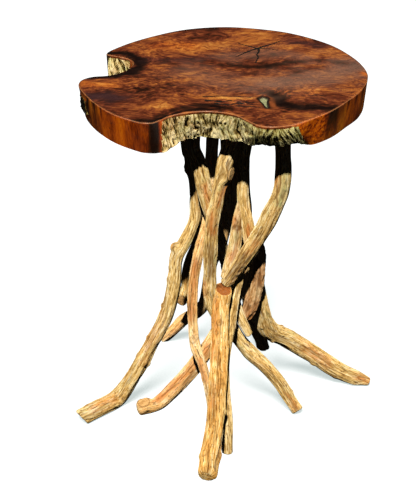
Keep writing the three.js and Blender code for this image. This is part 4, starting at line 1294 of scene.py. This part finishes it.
# Oiled burl: a thick slice across the root, sanded flat and oiled. The figure flows in smoky
# brown and gold clouds with fine dark lines; the oil gives a soft gloss that deepens it.
def burl_material(look):
    material, tree = new_material("Burl_slab_sanded_and_oiled")
    source = burl_sources(tree)
    colour = add_node(tree, "ShaderNodeValToRGB", inputs={0: burl_tone(tree, source)}, stops=[
        (stop, (*getattr(look, key), 1)) for key, stop in BURL_STOPS.items()]).outputs[0]
    hole_moss = add_node(tree, "ShaderNodeMix", {"data_type": "RGBA"}, {
        0: source["curls"], 6: opaque("#4c5230"), 7: opaque("#b6bb96")}).outputs[2]
    colour = lay_over(tree, colour, source, [
        ("wall", 0.0, 1.0, 1.0, "#eeea5c", "MULTIPLY"), ("cool", 0.0, 1.0, 0.5, "#55363a"),
        # The pale film laid over the top is a painted sheen
        ("haze", 0.0, 1.0, 0.72, "#876a5c"), ("ember", 0.0, 1.0, 0.8, "#d0962c", "OVERLAY"),
        ("vein", 0.0, 1.0, 0.45, "#2c130a"), ("specks", 0.62, 0.70, 0.5, "#2c130a"),
        # The light line along the rounded rim, laid here, is a painted highlight
        ("halo", 0.1, 0.8, 0.7, "#94502a"), ("rim", 0.2, 1.0, 0.5, "#b87a4a"),
        # Painted shade round and down into the knot hole
        ("hole_edge", 0.0, 0.4, 0.95, "#160a04"), ("hole", 0.0, 1.0, 1.0, hole_moss),
        # Painted shade in the cracks and fissures
        ("crack", 0.1, 0.6, 1.0, "#080301")])
    gloss = add_node(tree, "ShaderNodeMapRange", inputs={
        "Value": source["mottle"], "From Min": 0.3, "From Max": 0.7, "To Min": 0.35,
        "To Max": 0.55}).outputs[0]
    # The oil doesn't reach into the cracks and the knot hole, which stay matt
    for key in ("crack", "hole_edge"):
        gloss = add_node(tree, "ShaderNodeMath", {"operation": "MAXIMUM"},
                         {0: source[key], 1: gloss}).outputs[0]
    relief = add_node(tree, "ShaderNodeMath", {"operation": "ADD"},
                      {0: source["curls"], 1: source["wall fibres"]}).outputs[0]
    close_material(tree, {"Base Color": colour, "Roughness": gloss, "IOR": 1.5,
                          "Specular IOR Level": 0.3, "Coat Weight": 0.08, "Coat Roughness": 0.2},
                   relief, 0.15 * MM)
    return material


# How wide each pattern of the bark is, in millimetres along x, y and z, and its fine detail
BARK_PATTERNS = {"fibres": (1.4, 1.4, 6.5, 3), "green": (30, 30, 26, 2), "tan": (24, 24, 18, 2)}


# Bark of the root, left as it grew: matt felted strands, cream on their crests, olive and
# brown in between, with black painted shade in the crevices.
def bark_material(look):
    material, tree = new_material("Root_bark_weathered")
    place = add_node(tree, "ShaderNodeTexCoord").outputs["Object"]
    source = add_sources(tree, place, BARK_PATTERNS, ("crevice", "down", "moss", "rust"), 0.65)
    # Painted shade in the crevices and on the bark underneath; darker near the rim, paler on the fibres
    lift = add_node(tree, "ShaderNodeMapRange", inputs={
        "Value": source["down"], "From Min": 0.0, "From Max": SLAB_THICKNESS, "To Min": 0.66,
        "To Max": 0.40}).outputs[0]
    shade = add_node(tree, "ShaderNodeMath", {"operation": "ADD"},
                     {0: source["crevice"], 1: lift}).outputs[0]
    shade = add_node(tree, "ShaderNodeMath", {"operation": "MULTIPLY_ADD"},
                     {0: source["fibres"], 1: -1.0, 2: shade}).outputs[0]
    colour = add_node(tree, "ShaderNodeValToRGB", inputs={0: shade}, stops=[
        (0.04, (*look.bark_crest, 1)), (0.24, (*look.bark_cream, 1)), (0.42, opaque("#9c8650")),
        (0.58, opaque("#5c4a22")), (0.76, opaque("#251b0a")), (0.95, opaque("#0a0703"))]).outputs[0]
    colour = lay_over(tree, colour, source, [
        ("green", 0.48, 0.64, 0.5, "#a9bd8a", "MULTIPLY"), ("tan", 0.54, 0.68, 0.5, "#c79458", "MULTIPLY"),
        ("moss", 0.0, 1.0, 0.5, "#b2c694", "MULTIPLY"), ("rust", 0.0, 1.0, 0.5, "#b0763e", "MULTIPLY")])
    close_material(tree, {"Base Color": colour, "Roughness": 0.9, "Diffuse Roughness": 1.0,
                          "IOR": 1.45, "Specular IOR Level": 0.1}, source["fibres"], 2.0 * MM)
    return material


# Stage

CAMERA_PLACE = (-27, -3000, 1730)
CAMERA_TARGET = (-27, 0, 307)
# The photograph's focal length in its own pixels, and its taller side
FOCAL_PIXELS = 1811
PHOTO_HEIGHT = 500
SENSOR = 36.0
# The floor reaches this many metres each way, and lies a hair below the feet, in millimetres
FLOOR_REACH = 40
FLOOR_HEIGHT = -0.4

# The lamps: how bright, colour, how wide the sun's disc is, how far round to the right of the
# camera's side it stands and how high, all in degrees
LAMPS = {
    "key_light": (4.8, "#fdf4e2", 1.5, -7, 51), "floor_light": (4.6, "#ffffff", 19, -7, 49),
    "wall_light_right": (1.7, "#fff6ea", 20, 70, 20), "wall_light_left": (1.0, "#fff6ea", 20, -75, 20),
}
# The legs whose shadows fall on the floor in the open
SHADOW_LEGS = ["leg_left", "leg_front_right", "leg_right", "leg_back_left", "leg_back_right"]


def add_sun(name):
    strength, colour, angle, azimuth, elevation = LAMPS[name]
    lamp = bpy.data.lights.new(name, "SUN")
    lamp.energy = strength
    lamp.color = linear(colour)
    lamp.angle = np.radians(angle)
    around, up = np.radians(azimuth), np.radians(elevation)
    towards = Vector((np.sin(around) * np.cos(up), -np.cos(around) * np.cos(up), np.sin(up)))
    light = bpy.data.objects.new(name, lamp)
    light.location = 3 * towards
    light.rotation_euler = towards.to_track_quat("Z", "Y").to_euler()
    bpy.context.scene.collection.objects.link(light)
    return light


def link_light(light, thing, state):
    """Let a lamp light only this thing, or everything but it."""
    group = bpy.data.collections.new(light.name + "_reach")
    group.objects.link(thing)
    light.light_linking.receiver_collection = group
    group.collection_objects[0].light_linking.link_state = state


# Studio floor: matt white paper. It glows faintly of its own, so that shadows on it stay soft grey.
def make_floor():
    plane = bmesh.new()
    bmesh.ops.create_grid(plane, x_segments=1, y_segments=1, size=FLOOR_REACH)
    for corner in plane.verts:
        corner.co.z = FLOOR_HEIGHT * MM
    mesh = bpy.data.meshes.new("studio_floor")
    plane.to_mesh(mesh)
    plane.free()
    floor = bpy.data.objects.new("studio_floor", mesh)
    bpy.context.scene.collection.objects.link(floor)
    material, tree = new_material("Studio_floor_white_paper")
    glow = add_node(tree, "ShaderNodeEmission", inputs={"Color": opaque("#c9d3d1"), "Strength": 1.0})
    paper = add_node(tree, "ShaderNodeBsdfDiffuse", inputs={"Color": opaque("#c5c0c0")})
    both = add_node(tree, "ShaderNodeAddShader", inputs={0: glow.outputs[0], 1: paper.outputs[0]})
    add_node(tree, "ShaderNodeOutputMaterial", inputs={"Surface": both.outputs[0]})
    mesh.materials.append(material)
    floor.visible_diffuse = False
    floor.visible_glossy = False
    return floor


def make_world():
    """White behind the table, but only a faint grey glow on it."""
    scene = bpy.context.scene
    scene.world = scene.world or bpy.data.worlds.new("studio")
    scene.world.use_nodes = True
    tree = scene.world.node_tree
    tree.nodes.clear()
    seen = add_node(tree, "ShaderNodeLightPath").outputs["Is Camera Ray"]
    shown = add_node(tree, "ShaderNodeBackground", inputs={"Color": (1, 1, 1, 1), "Strength": 1.0})
    glow = add_node(tree, "ShaderNodeBackground", inputs={"Color": opaque("#f2f4ff"), "Strength": 0.006})
    mixed = add_node(tree, "ShaderNodeMixShader", inputs={0: seen, 1: glow.outputs[0], 2: shown.outputs[0]})
    add_node(tree, "ShaderNodeOutputWorld", inputs={"Surface": mixed.outputs[0]})


def make_camera():
    """The photograph's view: from about 3.3 m away and 25 degrees up."""
    camera = bpy.data.objects.new("camera", bpy.data.cameras.new("camera"))
    bpy.context.scene.collection.objects.link(camera)
    place = (np.array(CAMERA_PLACE) + SHIFT) * MM
    target = (np.array(CAMERA_TARGET) + SHIFT) * MM
    camera.location = place
    camera.rotation_euler = Vector(target - place).to_track_quat("-Z", "Y").to_euler()
    camera.data.sensor_width = SENSOR
    camera.data.lens = FOCAL_PIXELS / PHOTO_HEIGHT * SENSOR
    camera.data.clip_end = 100
    bpy.context.scene.camera = camera


def make_stage():
    """The floor, the lamps that each light their own part of the scene, and the camera."""
    floor = make_floor()
    make_world()
    make_camera()
    slab = bpy.data.objects["tabletop_slab_wood"]
    link_light(add_sun("key_light"), floor, "EXCLUDE")
    link_light(add_sun("wall_light_right"), slab, "INCLUDE")
    link_light(add_sun("wall_light_left"), slab, "INCLUDE")
    soft = add_sun("floor_light")
    link_light(soft, floor, "INCLUDE")
    soft.light_linking.blocker_collection = bpy.data.collections.new("floor_shadow_casters")
    for name in SHADOW_LEGS:
        soft.light_linking.blocker_collection.objects.link(bpy.data.objects[name + "_wood"])
    # Light that the branches would pass on is left out, so that their shade is black
    for name in BRANCHES:
        bpy.data.objects[name + "_wood"].visible_diffuse = False
    view = bpy.context.scene.view_settings
    view.view_transform = "Standard"
    view.look = "None"


# Add-on


def colour_setting(name, description, hex_colour):
    return FloatVectorProperty(name=name, description=description, default=linear(hex_colour),
                               subtype="COLOR", min=0, max=1)


class DriftwoodTableLook(bpy.types.PropertyGroup):
    """Sizes and colours of the table that a user would change."""

    grain_depth: FloatProperty(
        name="Grain depth", description="How deep the branches' weathered grain is cut",
        default=1.0 * MM, min=0.0, max=3.0 * MM, unit="LENGTH")
    bark_depth: FloatProperty(
        name="Bark depth", description="How far the slab's bark stands out",
        default=4.0 * MM, min=0.0, max=9.0 * MM, unit="LENGTH")
    wood_body: colour_setting("Driftwood", "Main colour of the golden branches", "#e6b564")
    slab_darkest: colour_setting("Slab shadow bands", "Darkest figure of the slab", "#140806")
    slab_dark: colour_setting("Slab dark figure", "Dark brown figure of the slab", "#331a0e")
    slab_red: colour_setting("Slab red", "Red-brown figure of the slab", "#592717")
    slab_brown: colour_setting("Slab brown", "Mid brown figure of the slab", "#7c4125")
    slab_gold: colour_setting("Slab gold", "Golden figure of the slab", "#a5602a")
    slab_lightest: colour_setting("Slab lights", "Lightest figure of the slab", "#c88c46")
    bark_cream: colour_setting("Bark cream", "Colour of the bark's strands", "#d2bd80")
    bark_crest: colour_setting("Bark crests", "Colour of the bark's highest strands", "#f4e8bc")


def make_branches(context, names):
    for name in names:
        make_branch(name, context.scene.driftwood_table)


class TABLE_OT_slab(bpy.types.Operator):
    """Make the thick live-edge round with its bark, cracks and knot hole"""

    bl_idname = "driftwood_table.slab"
    bl_label = "Tabletop Slab"

    def execute(self, context):
        make_slab(context.scene.driftwood_table)
        return {"FINISHED"}


class TABLE_OT_posts(bpy.types.Operator):
    """Make the branches that stand close together under the slab"""

    bl_idname = "driftwood_table.posts"
    bl_label = "Posts"

    def execute(self, context):
        make_branches(context, ["post_crossing", "post_front", "post_thin", "post_middle", "stub_left"])
        return {"FINISHED"}


class TABLE_OT_braces(bpy.types.Operator):
    """Make the shorter pieces that tie posts and legs together"""

    bl_idname = "driftwood_table.braces"
    bl_label = "Braces"

    def execute(self, context):
        make_branches(context, ["brace_right", "brace_crook", "brace_bark"])
        return {"FINISHED"}


class TABLE_OT_legs(bpy.types.Operator):
    """Make the branches that spread out to the floor"""

    bl_idname = "driftwood_table.legs"
    bl_label = "Legs"

    def execute(self, context):
        make_branches(context, ["leg_left", "leg_front", "leg_prop", "leg_front_left",
                                "leg_front_right", "leg_right", "leg_back_left", "leg_back_right"])
        return {"FINISHED"}


class TABLE_OT_stage(bpy.types.Operator):
    """Make the pale floor, the lights and the camera"""

    bl_idname = "driftwood_table.stage"
    bl_label = "Stage"

    def execute(self, context):
        make_stage()
        return {"FINISHED"}


class TABLE_PT_panel(bpy.types.Panel):
    """Sidebar panel that lists the table's pieces and their settings"""

    bl_idname = "TABLE_PT_panel"
    bl_label = "Driftwood Table"
    bl_space_type = "VIEW_3D"
    bl_region_type = "UI"
    bl_category = "Driftwood Table"

    def draw(self, context):
        column = self.layout.column()
        for key in DriftwoodTableLook.__annotations__:
            column.prop(context.scene.driftwood_table, key)
        for operator in OPERATORS:
            column.operator(operator.bl_idname)


OPERATORS = [TABLE_OT_slab, TABLE_OT_posts, TABLE_OT_braces, TABLE_OT_legs, TABLE_OT_stage]
CLASSES = [DriftwoodTableLook, *OPERATORS, TABLE_PT_panel]


def register():
    for entry in CLASSES:
        bpy.utils.register_class(entry)
    bpy.types.Scene.driftwood_table = PointerProperty(type=DriftwoodTableLook)


def unregister():
    del bpy.types.Scene.driftwood_table
    for entry in reversed(CLASSES):
        bpy.utils.unregister_class(entry)


def main():
    register()
    bpy.ops.driftwood_table.slab()
    bpy.ops.driftwood_table.posts()
    bpy.ops.driftwood_table.braces()
    bpy.ops.driftwood_table.legs()
    bpy.ops.driftwood_table.stage()


if __name__ == "__main__":
    main()
